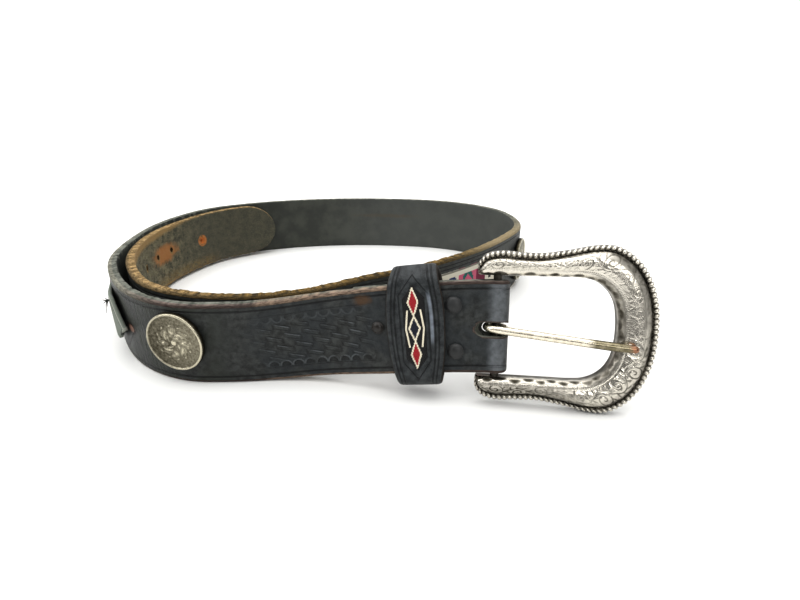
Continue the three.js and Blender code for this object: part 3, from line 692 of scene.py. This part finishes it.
def panel_mesh(name, centre, lift):
    """A slab a little proud of the leather. Rows run along the strap, and the section is a
    top face with rounded edges and an underside. Half the height across is the half width,
    and shrinks to 1 mm over the long points. The end towards the buckle can stand off the
    leather, by the whole lift at first and then easing to nothing, and there its lower half
    is narrower."""
    along = np.linspace(-1, 1, 171) * PANEL_LENGTH / 2
    half = np.maximum(1.0, np.clip((PANEL_LENGTH / 2 - np.abs(along)) / PANEL_POINT, 0, 1) * PANEL_HALF)
    face = np.linspace(1, -1, 25)
    across = np.concatenate([face, np.linspace(-1, 1, 9)])
    over = np.concatenate([PANEL_PROUD - 0.35 * np.abs(face) ** 12, np.full(9, -PANEL_DEEP)])
    end = (along + PANEL_LENGTH / 2)[:, None]
    loose = min(lift, 1.0) * smooth(1 - end / 50)
    height = across * half[:, None] * (1 - 0.25 * loose * (across < 0))
    curl = lift * (1 - smooth((end - LIFTED) / LIFT_FADE))
    out_by = over + curl * np.concatenate([np.ones(25), np.full(9, 0.85)])
    points = on_strap(np.broadcast_to((centre + along)[:, None], height.shape), height, out_by)
    return grid_mesh(name, points, wrap_cols=True, caps=True, panel_s=along[:, None], strap_h=height,
                     cloth_edge=half[:, None] - np.abs(height))


for i, (middle, up_by) in enumerate(MEDALLIONS):
    panel = panel_mesh(f"woven_panel_{i + 1}_cloth", middle + PANEL_AFTER, 3.0 if i == 0 else 0.0)
    place(panel, "strap", PAINTED_SHEEN_WOOL if i == 0 else WOOL, "woven_cloth", [f"woven_panel_{i + 1}"])

# %% [markdown]
# ## The keeper
# The keeper is a slack loop of the same leather, widest at the middle of its front. It is a
# closed loop of sections, like a ring of bent tube: one direction runs round the loop and
# the other round the leather's own thin section. The strip of cloth in its front is woven
# with three long diamonds, red, navy and red.

# %% The keeper's loop
KEEPER_AT, KEEPER_MID, KEEPER_END, KEEPER_TOP, KEEPER_TILT = 32.2, 23.8, 16.0, 26.4, 0.05
INLAY_TALL, INLAY_WIDE, INLAY_UP = 17.5, 4.4, 1.4
# Each row is a place round the loop: up and out on the inner face, then on the outer one
KEEPER_LOOP = np.array([
    [23.6, -3.9, 26.4, -3], [23.6, -4.7, 26.4, -5.4], [22.2, -6.8, 24.4, -8.6],
    [19.8, -8.8, 20.9, -11.4], [12, -8.8, 12, -11.6], [4, -8.8, 4, -11.6], [-4, -8.8, -4, -11.6],
    [-12, -8.8, -12, -11.6], [-19.5, -8.8, -19.5, -11.6], [-21.2, -7.4, -23.2, -9.4],
    [-21.8, -4.1, -24.6, -4.1], [-21.2, -0.8, -23.2, 1.2], [-19.5, 0.6, -19.5, 3.4],
    [-14, 0.6, -14, 3.4], [-9, 0.6, -9, 3.4], [-4, 0.6, -4, 3.4], [1, 0.6, 1, 3.4], [6, 0.6, 6, 3.4],
    [11, 0.6, 11, 3.4], [16, 0.6, 16, 3.4], [19.8, 0.6, 20.9, 3], [22.2, -1.6, 24.4, 0.2]])


def closed_rows(rows, count):
    """A closed Catmull-Rom curve through the rows, at count even steps of the row number."""
    t = np.linspace(0, len(rows), count, endpoint=False)
    i = np.floor(t).astype(int)
    f = (t - i)[:, None]
    a, b, c, d = (rows[(i + k) % len(rows)] for k in (-1, 0, 1, 2))
    return b + 0.5 * f * (c - a + f * (2 * a - 5 * b + 4 * c - d + f * (3 * (b - c) + d - a)))


def keeper_mesh():
    """Round the loop the inner and outer faces are two smooth closed lines. Across, the
    section goes along the outer face, round an edge, back along the inner face and round
    the other edge. The half width shrinks with height: mid - (mid - end) x |up / top|^2.4,
    and the whole keeper sits askew by the tilt times the height."""
    loop = closed_rows(KEEPER_LOOP, 132)
    face, edge = np.linspace(-1, 1, 41), np.linspace(0, 1, 7)[1:-1]
    side = np.concatenate([face, np.ones(5), -face[::2], -np.ones(5)])
    deep = np.concatenate([np.zeros(41), edge, np.ones(21), edge[::-1]])
    bulge = 0.5 * np.sin(np.pi * edge)
    swell = np.concatenate([np.zeros(41), bulge, np.zeros(21), -bulge])
    rounding = 0.5 * np.abs(side) ** 12 * (1 - 2 * deep)
    outer, inner = loop[:, 2:], loop[:, :2]
    taper = np.clip(np.abs(loop[:, 0] / KEEPER_TOP), 0, 1) ** 2.4
    half = (KEEPER_MID - (KEEPER_MID - KEEPER_END) * taper) / 2 - 0.5
    wall = inner[:, None] - outer[:, None]
    thin = np.linalg.norm(wall, axis=2, keepdims=True)
    spot = outer[:, None] + wall * deep[None, :, None] + wall / thin * rounding[None, :, None]
    x = side * half[:, None] + swell
    points = on_strap(KEEPER_AT + x - KEEPER_TILT * spot[..., 0], spot[..., 0], spot[..., 1])
    return grid_mesh("keeper_leather", points, wrap_rows=True, wrap_cols=True, strap_s=x,
                     keeper_edge=half[:, None] - np.abs(x), strap_h=spot[..., 0], strap_d=deep)


def keeper_leather():
    """Smooth waxed black with two bevelled lines beside each curved edge, and a pointed
    border pressed round the cloth."""
    material = new_material("black_keeper_leather")
    edge, s, h, d = (add("Attribute", attribute_name=key, out="Fac")
                     for key in ("keeper_edge", "strap_s", "strap_h", "strap_d"))
    outside = add("ease", d, 0.02, 0.1, 1, 0)
    window = add("MINIMUM", (INLAY_TALL + 4.5 - abs(h - INLAY_UP)) * 0.75, 6) - abs(s)
    lines = band(edge, 1.7, 2, 0.3) + band(edge, 3.2, 3.5, 0.3) + band(window, 0.2, 0.4, 0.3)
    lines = lines * outside * 0.75
    flat = add("CombineXYZ", s, h, d)
    creases, fine = add("noise", flat, 0.3, 6, 0.6), add("noise", flat, 3, 3)
    black = add("mix", add("ease", creases, 0.3, 0.7), "#1b1d1e", "#3d4041")
    black = add("mix", add("ease", fine, 0.45, 0.75) * 0.35, black, "#575c5f")
    # Painted shade: the bevelled lines and the border round the cloth are painted near-black.
    black = add("mix", lines * 0.8, black, "#060606")
    # Painted highlight: a blue-grey streak along the keeper's bevel on the buckle side of the front, broken
    # up by the creases.
    painted_highlight_streak = band(edge, 4.3, 4.9, 0.7) * add("ease", s, -2, -4) * band(h, -2, 13, 5)
    black = add("mix", painted_highlight_streak * creases * 1.1, black, "#8a919b")
    colour = add("mix", outside, add("mix", fine, "#141312", "#3a332c"), black)
    surface = lines * -0.4 + creases * 0.14 + fine * 0.03
    rough = add("ease", outside, 0, 1, 0.75, 0.38) + (creases - 0.5) * 0.2
    finish_with(colour, rough, surface, IOR=1.45, Specular_IOR_Level=0.25)
    return material


place(keeper_mesh(), "strap", keeper_leather(), "leather", ["keeper"])


def inlay_mesh():
    """A tall thin hexagon proud of the keeper's front by a third of a millimetre. Its points
    take up 0.28 of its half height each."""
    up = np.linspace(-1, 1, 91) * INLAY_TALL
    pointed = np.clip((INLAY_TALL - np.abs(up)) / (0.28 * INLAY_TALL), 0, 1)
    half = np.maximum(0.6, INLAY_WIDE * pointed)
    face = np.linspace(-1, 1, 15)
    across = np.concatenate([face, np.linspace(1, -1, 5)])
    over = np.concatenate([3.7 - 0.25 * np.abs(face) ** 8, np.full(5, 2.9)])
    x = across * half[:, None]
    y = np.broadcast_to(up[:, None], x.shape)
    high = y + INLAY_UP
    points = on_strap(KEEPER_AT + x - KEEPER_TILT * high, high, np.broadcast_to(over, x.shape))
    return grid_mesh("keeper_cloth", points, wrap_cols=True, caps=True, inlay_y=y, inlay_x=x,
                     cloth_edge=np.abs(x) + 0.13 * np.abs(y))


IVORY = "#efe6cf"
INLAY_PLAN = [(10.8, 6.5, 2.35, IVORY), (10.8, 4.9, 1.6, RED), (-11, 6.5, 2.35, IVORY),
              (-11, 4.9, 1.6, RED), (-0.1, 5.9, 2.6, IVORY), (-0.1, 4.4, 1.75, "#151a2a")]
STRIP = woven_cloth("wool_keeper_strip", "inlay_y", "inlay_x", INLAY_PLAN, "#0d0d0f", 0.35,
                    [(3.6, 0.3, IVORY, 7.8)])
place(inlay_mesh(), "strap", STRIP, "woven_cloth", ["keeper_inlay"])

# %% [markdown]
# ## Medallions
# A medallion is a disc struck in low relief and left to tarnish. Its surface is one polar
# grid: rings from the middle outwards and down the side, with the relief added as a height
# above the flat field. The same height tells the material where to stay bright, because
# hands and cloth keep the high spots polished while dark tarnish stays in the hollows. The
# rim and the field are also painted brighter towards one side: a painted highlight.

# %% The struck disc
MEDALLION_R, MEDALLION_RIM, MEDALLION_FIELD = 13.6, 1.1, 2.1
RIM_PROUD, RELIEF_PROUD, DISHED = 0.5, 0.45, 0.35


def rosette(r, a):
    """Generic relief at radius share r and angle a: eight narrow ribbed leaves that sweep
    out from a boss, with small buds between their tips, as heights from 0 to 1."""
    swirl = a + 1.1 * r

    def ring(middle, wide, wave, power):
        return np.clip(1 - ((r - middle) / wide) ** 2, 0, 1) * np.clip(wave, 0, 1) ** power

    leaf = np.maximum(ring(0.3, 0.24, np.cos(4 * swirl), 0.8), ring(0.38, 0.18, -np.cos(4 * swirl), 2))
    ribs = 0.45 + 0.55 * np.cos(34 * r + 7 * np.sin(4 * swirl)) * np.cos(16 * swirl)
    buds = ring(0.6, 0.04, np.cos(12 * swirl), 4) * 0.5
    boss = np.clip(1 - (r / 0.1) ** 2, 0, 1) ** 0.5
    return np.maximum(np.maximum(leaf * ribs, buds), boss)


def medallion_mesh(name, centre, up_by, turn):
    """Rings of the disc from the boss to the rim, down the side and in again below. Height
    is field + dish x (1 - r^2) + relief, and the rim is a half-round on top of that."""
    share = np.concatenate([np.linspace(0.004, 0.915, 96), np.linspace(0.92, 1, 14)])
    a = np.linspace(0, 2 * np.pi, 210, endpoint=False)
    r, angle = np.meshgrid(share, a, indexing="ij")
    relief = rosette(r, angle + turn)
    rim_at = (r * MEDALLION_R - (MEDALLION_R - MEDALLION_RIM / 2)) / (MEDALLION_RIM / 2)
    rim = np.sqrt(np.clip(1 - rim_at ** 2, 0, 1))
    field = MEDALLION_FIELD + DISHED * (1 - r ** 2)
    z = field + np.where(np.abs(rim_at) < 1, RIM_PROUD * rim, RELIEF_PROUD * relief)
    side = np.array([[1, 1.2], [1, 0.35], [0.98, 0.3], [0.13, 0.3], [0.13, -2.8], [0.002, -2.8]])
    r = np.concatenate([r, np.broadcast_to(side[:, :1], (6, 210))]) * MEDALLION_R
    z = np.concatenate([z, np.broadcast_to(side[:, 1:], (6, 210))])
    angle = np.broadcast_to(a, r.shape)
    at, along, up, out = frame_at(float(centre))
    across, rise = r * np.cos(angle), r * np.sin(angle) + up_by
    points = at - along * across[..., None] + up * rise[..., None] + out * z[..., None]
    polish = np.zeros(r.shape)
    # Painted highlight: lit makes the rim and the field brighter towards one side of the disc. The relief's
    # share is polish from wear.
    lit = 0.5 + 0.5 * np.cos(angle[:110] - 0.2)
    polish[:110] = np.where(np.abs(rim_at) < 1, 0.25 + rim * (0.3 + 0.5 * lit),
                            0.2 + 0.14 * lit + 0.75 * np.clip(relief, 0, 1))
    return grid_mesh(name, points, wrap_cols=True, caps=True, polish=polish)


def tarnished(name, bright, dark, rough_low, rough_high, lumps):
    """Metal whose high spots are polished and whose hollows keep dark oxide. The meshes store
    a share from 0 in a hollow to 1 on a crest, with painted highlights and painted shade
    added on the sides where light falls, and noise breaks it up."""
    material = new_material(name)
    # The stored share holds real polish and oxide, and also painted highlights and shade.
    spot, polish = in_mm(), add("Attribute", attribute_name="polish", out="Fac")
    mottle = add("noise", spot, lumps, 6, 0.65) - 0.5
    wear_and_painted_light = add("ease", polish + mottle * 0.8, 0, 0.9)
    rough = add("ease", wear_and_painted_light, 0, 1, rough_high, rough_low) + mottle * 0.3
    fine = add("noise", spot, 6 * lumps, 3)
    finish_with(add("mix", wear_and_painted_light, dark, bright), rough, fine * 0.05, Metallic=1)
    return material


PEWTER = tarnished("tarnished_nickel", "#c2bca8", "#3d382b", 0.24, 0.5, 0.9)
for i, (middle, up_by) in enumerate(MEDALLIONS):
    struck = medallion_mesh(f"medallion_{i + 1}_struck", middle, up_by, 0.3 + 0.9 * i)
    place(struck, "strap", PEWTER, "nickel", [f"medallion_{i + 1}"])

# %% [markdown]
# ## Screw caps
# Two black domed caps and a smaller brownish one close the fold. Each is a turned profile:
# a low dome with a rolled lip, a post through the fold, and a flat head behind it.

# %% Caps
POST_RADIUS, HEAD_RADIUS, HEAD_FROM, HEAD_TO = 1.7, 3.2, -8.1, -9.3


def cap_mesh(name, s, height, radius):
    """The profile (radius, height over the grain face) turned round its own axis."""
    dome = np.linspace(0.02, 1, 16)
    profile = np.concatenate([
        np.stack([(radius - 0.45) * dome, 0.7 + 1.2 * np.sqrt(1 - dome ** 2 * 0.97)], 1),
        np.array([[radius - 0.25, 0.85], [radius - 0.05, 0.75], [radius, 0.55], [radius - 0.2, 0.3],
                  [POST_RADIUS, 0.3], [POST_RADIUS, HEAD_FROM], [HEAD_RADIUS, HEAD_FROM],
                  [HEAD_RADIUS, HEAD_TO], [0.01, HEAD_TO]])])
    a = np.linspace(0, 2 * np.pi, 56, endpoint=False)
    at, along, up, out = frame_at(float(s))
    ring = up * np.sin(a)[:, None] - along * np.cos(a)[:, None]
    points = at + up * height + ring[None] * profile[:, :1, None] + out * profile[:, 1:, None]
    return grid_mesh(name, points, wrap_cols=True, caps=True)


def lacquer(name, low, high, rough, **settings):
    """Lacquered or plain metal, or wax, with a faint mottle."""
    material = new_material(name)
    mottle = add("noise", in_mm(), 0.8, 5)
    rough = add("ease", mottle, 0.3, 0.7, rough, rough + 0.15)
    finish_with(add("mix", mottle, low, high), rough, **settings)
    return material


BLACK_CAP = lacquer("black_lacquer", "#191a1a", "#292a2a", 0.4, IOR=1.5)
BROWN_CAP = lacquer("brown_lacquer", "#0e0c0a", "#211a12", 0.3, IOR=1.5)
# Each row: name, distance from the bar, height, radius, finish and the finish's slot
CAPS = [("upper", 16.6, 9.5, 3.5, BLACK_CAP, "black_cap"),
        ("lower", 16.9, -9.7, 3.4, BLACK_CAP, "black_cap"),
        ("rear", 48.3, 2.2, 2.7, BROWN_CAP, "brown_cap")]
for name, s, height, radius, material, slot in CAPS:
    place(cap_mesh("cap_" + name, s, height, radius), "strap", material, slot, ["fold_screw_" + name])

# %% [markdown]
# ## The cast buckle
# The frame is one casting, open towards the strap. Its outline and its opening are two
# smooth curves with as many points each, and the section is drawn between every pair: a
# roped edge of bright beads, a domed and engraved face, a bevelled inner lip. The engraving
# is cut into the grid itself as a height, and the depth is kept for the finish, because
# oxide stays in the cuts.

# %% The buckle's frame
# Each row of a half outline is a place along the belt from the bar, and across it
FRAME_OUTER = np.array([[-8, 21.6], [-8, 25.6], [-5, 29.4], [1, 30.9], [9, 30.4], [17, 30.2], [27, 31.6],
                        [38, 33.7], [45, 33.5], [51.8, 29.8], [57, 23.8], [60.5, 16], [62.2, 8], [62.6, 0]])
FRAME_INNER = np.array([[-7.4, 21], [-6.4, 21], [-4.4, 21], [0, 21], [8, 21], [15, 21], [22, 21], [30, 21],
                        [35.5, 20.4], [40, 18.4], [43.4, 15.2], [45.7, 10.8], [46.7, 5.6], [47, 0]])
# The rope's radius, and how far apart its beads, the scrolls, their coils and the swags are
ROPE, BEAD, SCROLL, COIL, SWAG = 1.3, 2.15, 9.5, 2.26, 6.2
# Heights of the back, the top of the dome, its inner end and the lip, and the bevel's width
BACK, DOME, CREST, LIP, BEVEL = -2.9, 4.8, 4.1, 1.4, 2.6
FACE_CUT, BEVEL_CUT = 0.14, 0.25


def open_rows(rows, count):
    """A centripetal Catmull-Rom curve through the rows, at even steps of the row number."""
    points = plan_curve(rows, 60)[1]
    new, old = np.linspace(0, 1, count), np.linspace(0, 1, len(points))
    return np.stack([np.interp(new, old, points[:, k]) for k in (0, 1)], -1)


def mirrored(rows):
    """The whole outline from its upper half: the lower half is the same, upside down."""
    return np.concatenate([rows, rows[-2::-1] * [1, -1]])


def to_world(x, y, z):
    """From the buckle's own plane (along the belt from the bar, across, out) to the world."""
    at, along, up, out = frame_at(0.0)
    bar = at - out * FOLD_OUTER
    x, y, z = (np.asarray(v)[..., None] for v in (x, y, z))
    return bar - along * x + up * y + out * z


def scrolls(run, width):
    """Generic leaf scrolls: a waving stem along the face with a spiral leaf in each bend,
    leaf blades that fan off it, and fine hatching between them. run is mm along the face,
    width 0 at the rope and 1 at the lip. Returns how deep the graver went, from 0 to 1."""
    y = width * SCROLL
    stem = SCROLL / 2 + 2.3 * np.sin(np.pi * run / SCROLL)
    line = np.exp(-((y - stem) / 0.26) ** 2)
    cell = np.floor(run / SCROLL)
    x = run - (cell + 0.5) * SCROLL
    side = np.where(cell % 2 == 0, -1.0, 1.0)
    across = (y - SCROLL / 2) * side - 1.1
    radius, angle = np.hypot(x, across), np.arctan2(across, x)
    spiral = np.abs((radius - 0.36 * (angle + np.pi)) / COIL % 1 - 0.5) * COIL
    leaf = np.exp(-((spiral - 0.1) / 0.2) ** 2) * (radius < 3.4)
    fan = (0.5 + 0.5 * np.cos(9 * angle + 1.6 * radius)) ** 4 * (radius > 3.4) * (radius < 5.4)
    hatch = (0.5 + 0.5 * np.sin(2 * np.pi * (run + 0.5 * y) / 1.1)) ** 3 * (radius >= 5.4)
    inside = smooth((width - 0.05) / 0.04) * smooth((0.88 - width) / 0.04)
    cuts = np.maximum(np.maximum(line, leaf), np.maximum(0.75 * fan, 0.45 * hatch)) * inside
    ticks = (0.5 + 0.5 * np.cos(2 * np.pi * run / 0.95)) * np.exp(-((width - 0.94) / 0.025) ** 2)
    return np.clip(np.maximum(cuts, 0.9 * ticks), 0, 1)


def bead_rope(run, turn):
    """How proud the roped edge stands, from 0 in a groove to 1 on a bead. A bead is half an
    ellipse along the rim, every 2.15 mm, and slants with the turn round the rope."""
    u = (run / BEAD + 0.06 * turn) % 1 - 0.5
    return np.sqrt(np.clip(1 - (u / 0.38) ** 2, 0, 1))


def swags(run, share):
    """Dark lens-shaped cuts on the inner bevel, 6.2 mm apart, higher and lower in turn."""
    cell = np.floor(run / SWAG)
    x = (run - (cell + 0.5) * SWAG) / 2.9
    middle = np.where(cell % 2 == 0, 0.42, 0.66) + 0.08 * x ** 2
    return np.clip(1 - x ** 2 - ((share - middle) / 0.26) ** 2, 0, 1) ** 0.5


def frame_mesh():
    """Rows follow the frame from one upper end round to the lower one. Columns go round the
    section: the rope, the face, the bevel, the inner wall and the flat back. Beads swell
    the rope's radius, and the cuts lower the face and the bevel by their own depths."""
    rows = 860
    outer, inner = open_rows(mirrored(FRAME_OUTER), rows), open_rows(mirrored(FRAME_INNER), rows)
    across = inner - outer
    width = np.linalg.norm(across, axis=1, keepdims=True)
    across = across / width
    rope = np.minimum(2 * ROPE, width * 0.45)
    bevel = np.minimum(BEVEL, width * 0.3)
    full = smooth((width - 1.2) / 6)
    run = np.concatenate([[0], np.cumsum(np.linalg.norm(np.diff(outer, axis=0), axis=1))])[:, None]

    def rise(z):
        return ROPE + (z - ROPE) * full

    turn = np.linspace(np.pi * 1.12, 0.05 * np.pi, 16)[None, :]
    bead = bead_rope(run, turn)
    swell = rope / 2 * (0.66 + 0.44 * bead)
    rope_d, rope_z = rope / 2 + swell * np.cos(turn), 0.35 + swell * np.sin(turn) * 1.15
    t = np.linspace(0, 1, 62)[None, :]
    face_d = rope + (width - bevel - rope) * t
    crown = np.interp(t[0], [0, 0.06, 0.16, 0.32, 0.5, 0.7, 1],
                      [0.9, 2.2, 3.55, 4.55, DOME, 4.72, CREST])
    right = smooth((outer[:, :1] - 40) / 12)
    cuts = scrolls(run, t) * full * (1 - 0.7 * right * smooth((outer[:, 1:] + 6) / 8))
    face_z = rise(crown[None, :]) - FACE_CUT * cuts
    b = np.linspace(0, 1, 15)[None, 1:]
    dents = swags(run, b) * full
    bevel_d = width - bevel + bevel * np.sin(b * np.pi / 2)
    fall = (LIP * full - rise(CREST)) * (1 - np.cos(b * np.pi / 2))
    bevel_z = rise(CREST) + fall - BEVEL_CUT * dents
    wall = np.linspace(0, 1, 6)[None, 1:]
    wall_z = LIP * full + (BACK + 0.3 - LIP * full) * wall
    under = np.linspace(1, 0.1, 8)[None, :]
    flat = 0 * width
    d = np.concatenate([rope_d, face_d, bevel_d, width + 0 * wall_z, width * under, flat], 1)
    z = np.concatenate([rope_z, face_z, bevel_z, wall_z, BACK + flat * under, BACK + ROPE + flat], 1)
    spot = outer[:, None] + across[:, None] * d[..., None]
    # Painted shade: the lower rail, short of the right limb, is painted darker.
    lower = 0.3 * smooth((-outer[:, 1:] - 20) / 8) * smooth((44 - outer[:, :1]) / 12)
    cut_by = 0.32 + 0.22 * np.sin(run / 9.0)
    # Painted light: a painted highlight band towards the inner end of the right limb's face, and painted
    # shade on the face next to the rope, stronger on the right limb.
    painted_sheen_and_shade = 0.3 * right * np.exp(-((t - 0.82) / 0.14) ** 2) - (0.1 + 0.4 * right) * np.exp(-(t / 0.36) ** 2)
    polish = np.concatenate([
        bead ** 2 * 0.8 * np.exp(-((turn - 1.9) / 0.7) ** 2) + 0.26,
        # The face: oxide in the cuts, a painted highlight on the lower right, and the painted light and
        # shade above. The bevel: oxide in the swags, painted fainter on the right, and painted shade on the
        # right limb and the lower rail.
        0.76 + 0.12 * right * smooth((-outer[:, 1:] - 6) / 8) + painted_sheen_and_shade - cut_by * cuts - lower,
        0.85 - (0.7 - 0.5 * right) * dents - 0.3 * lower - 0.45 * right,
        0.3 * (1 - wall) + 0.1 + 0 * wall_z, 0.35 + flat * under, 0.3 + flat], 1)
    points = to_world(spot[..., 0], spot[..., 1], z)
    return grid_mesh("buckle_casting", points, wrap_cols=True, caps=True, polish=polish)


SILVER = tarnished("antique_silver", "#d2cdc2", "#38342b", 0.24, 0.45, 0.35)
place(frame_mesh(), "buckle", SILVER, "buckle_metal", ["buckle_frame"])

# %% [markdown]
# ## Bar and prong
# The heel bar stays as the CAD model has it, with a steel finish. The prong is a plated pin
# bent into an eye round the bar, a straight shank and a blunt nose that rests on the frame.
# Wear has taken its plating in places, so it goes from silver through bronze to copper.

# %% The prong
PRONG_RADIUS, PRONG_REACH = 1.76, 52.6


def tube_rings(path, radius, sides=32):
    """A ring of points round each point of a path: the two cross directions come from the
    tangent and a fixed side, the belt's width."""
    tangent = np.gradient(path, axis=0)
    tangent /= np.linalg.norm(tangent, axis=1, keepdims=True)
    side = np.cross(tangent, np.array([0, 1.0, 0]))
    side /= np.linalg.norm(side, axis=1, keepdims=True)
    other = np.cross(side, tangent)
    a = np.linspace(0, 2 * np.pi, sides, endpoint=False)[None, :, None]
    around = np.cos(a) * side[:, None] + np.sin(a) * other[:, None]
    return path[:, None] + radius[:, None, None] * around


def prong_mesh():
    """An eye of almost a full turn round the bar runs on into the shank, whose height goes
    from the eye's top to the frame's face, then a round nose. All of it is turned by the
    drop about the belt's own outward axis."""
    orbit, land = BAR_RADIUS + BAR_GAP + PRONG_RADIUS, DOME + BAR_GAP + PRONG_RADIUS
    turn = np.linspace(-np.pi * 1.32, np.pi / 2, 70)[:-1]
    eye = np.stack([orbit * np.cos(np.pi - turn), 0 * turn, orbit * np.sin(turn)], -1)
    x = np.linspace(0, 1, 120)
    height = orbit + (land - orbit) * np.interp(x, [0, 0.3, 0.7, 1], [0, 0.35, 0.85, 1])
    shank = np.stack([x * PRONG_REACH, 0 * x, height], -1)
    nose = np.linspace(0, 1, 12)[1:]
    tip = np.stack([PRONG_REACH + 0.9 * PRONG_RADIUS * nose, 0 * nose, land - 0.1 * nose], -1)
    path = np.concatenate([eye, shank, tip])
    thick = PRONG_RADIUS * np.concatenate([
        np.full(69, 0.92), 1 - 0.18 * smooth((x - 0.86) / 0.14),
        0.82 * np.sqrt(np.maximum(0.01, 1 - nose ** 2))])
    ring = tube_rings(path, thick)
    c, s = math.cos(PRONG_DROP), -math.sin(PRONG_DROP)
    px, py = ring[..., 0] * c - ring[..., 1] * s, ring[..., 0] * s + ring[..., 1] * c + PRONG_START
    return grid_mesh("prong_plated", to_world(px, py, ring[..., 2]), wrap_cols=True, caps=True,
                     far=path[:, :1] / PRONG_REACH)


def worn_plate():
    """Worn plating: warm silver, a duller olive bronze further out, copper at the nose, and
    dark brown painted shade on the eye, inside the fold."""
    material = new_material("worn_plated_brass")
    far = add("Attribute", attribute_name="far", out="Fac")
    mottle = add("noise", in_mm(), 0.45, 6, 0.6)
    lumps = add("ease", mottle, 0.3, 0.7)
    where = far + (mottle - 0.5) * 0.12
    # Painted shade: the eye, inside the fold, is painted dark brown.
    eye = add("ease", far, -0.1, -0.065, 1, 0)
    silver, bronze = add("mix", lumps, "#d3cbba", "#eee7d6"), add("mix", lumps, "#6a6450", "#958d78")
    colour = add("mix", add("ease", where, 0.66, 0.72), silver, bronze)
    colour = add("mix", eye, add("mix", add("ease", where, 0.94, 1), colour, "#8f6c56"), "#3a2f20")
    finish_with(colour, add("ease", mottle, 0.3, 0.7, 0.2, 0.34) + eye * 0.45, Metallic=1)
    return material


place(prong_mesh(), "prong", worn_plate(), "prong_metal", ["prong"])

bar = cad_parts["heel_bar"]
bar.data.materials.clear()
bar.data.materials.append(lacquer("dark_steel", "#34322e", "#57544e", 0.4, Metallic=1.0))

# %% [markdown]
# ## A frayed end
# A few waxed threads have come loose at the loose end of the first panel: short stiff ones
# that stand off in a tuft, and a longer one that hangs.

# %% Loose threads
# The root's place on the strap, in mm, and a row for each thread: along the strap, up, out
# of it, and how far its end drops
ROOT_S, ROOT_H, ROOT_OUT, THREAD_RADIUS = 191, 7.5, 2.4, 0.34
THREADS = np.array([[2.5, 0.5, 3.6, 0.3], [0.5, -0.5, 3.2, 0.8], [-1.5, 0.9, 2.6, 0], [3, -0.2, 2.4, 1.6],
                    [1.5, 1.4, 2, 0.2], [2.2, -0.4, 2.8, 6.8], [0.8, -0.2, 1.8, 3.2]])


def thread_mesh(name, along, up, out_by, drop):
    """A thread from one root goes out by its length times the root of t, and droops with
    the square of t, while it thins to a quarter."""
    t = np.linspace(0, 1, 18)
    path = on_strap(ROOT_S + along * t, ROOT_H + up * t - drop * t ** 2, ROOT_OUT + out_by * np.sqrt(t))
    return grid_mesh(name, tube_rings(path, THREAD_RADIUS * (1 - 0.75 * t), 8), wrap_cols=True, caps=True)


wax = lacquer("waxed_thread", "#11120f", "#2b2c26", 0.6, IOR=1.45)
for i, row in enumerate(THREADS):
    place(thread_mesh(f"loose_thread_{i + 1}", *row), "strap", wax, "woven_cloth")

# %% [markdown]
# ## Floor, light and camera
# The belt stands on a wide white floor, painted darker near the belt: painted shade that
# evens out the softboxes' stronger light there. Broad softboxes light it from above and the left.
# The world is bright overhead and behind and dark towards the camera, as in a room: that
# darkness is what the polished metal shows as its dark lines.
# The camera stands where the photo was taken: 28 cm in front and 12 cm up, looking down.

# %% Floor, lights, world and camera
def white_table():
    """A flat white floor, 60 m wide and deep enough to reach the horizon."""
    x, y = np.array([-30000, 30000])[:, None], np.array([-30000, 60000])[None, :]
    return grid_mesh("white_table", np.stack([x + 0 * y, y + 0 * x, 0 * x * y], -1))


def softbox(name, place_at, target, size, power):
    """A square area light that faces its target."""
    light = bpy.data.lights.new(name, "AREA")
    light.shape, light.size, light.energy = "SQUARE", size, power
    lamp = bpy.data.objects.new(name, light)
    lamp.location = place_at
    lamp.rotation_euler = (Vector(target) - Vector(place_at)).to_track_quat("-Z", "Y").to_euler()
    scene.collection.objects.link(lamp)


paper = new_material("white_paper")
# Painted shade: the paper is painted darker near the belt and white from about half a metre out, evening
# out the softboxes' stronger light near the belt.
away = add("VectorMath", add("TexCoord", out="Object"), operation="LENGTH", out="Value")
finish_with(add("mix", add("ease", away, 0.2, 0.55), "#e8e8e6", "#ffffff"), 0.9, IOR=1.3)
table = white_table()
table.data.materials.append(paper)

softbox("top", (0, 0.1, 1.1), (0, 0, 0), size=1.2, power=10)
softbox("left", (-0.9, -0.5, 0.7), (0, 0, 0.02), size=0.7, power=5)
softbox("front", (0.5, -1.1, 0.6), (0, 0, 0.03), size=0.4, power=3)

world = bpy.data.worlds.new("studio")
world.use_nodes = True
BENCH["tree"] = world.node_tree
BENCH["tree"].nodes.clear()
fore, low = (add("ease", add("SeparateXYZ", add("TexCoord"), out=axis), start, end, 1, 0)
             for axis, start, end in ((1, -0.55, 0.1), (2, 0.25, 0.8)))
add("OutputWorld", add("Background", "#ffffff", add("ease", fore * low, 0, 1, 1.2, 0.12)))
scene.world = world
scene.view_settings.view_transform = "Standard"
scene.view_settings.gamma = 0.85

lens = bpy.data.cameras.new("photo_camera")
lens.lens, lens.sensor_width, lens.sensor_fit = 22.5, 36, "HORIZONTAL"
lens.clip_start, lens.clip_end = 0.01, 30
camera = bpy.data.objects.new("photo_camera", lens)
camera.location = (0.07015, -0.28205, 0.12464)
camera.rotation_euler = (math.radians(66.194), 0, math.radians(9.02))
scene.collection.objects.link(camera)
scene.camera = camera
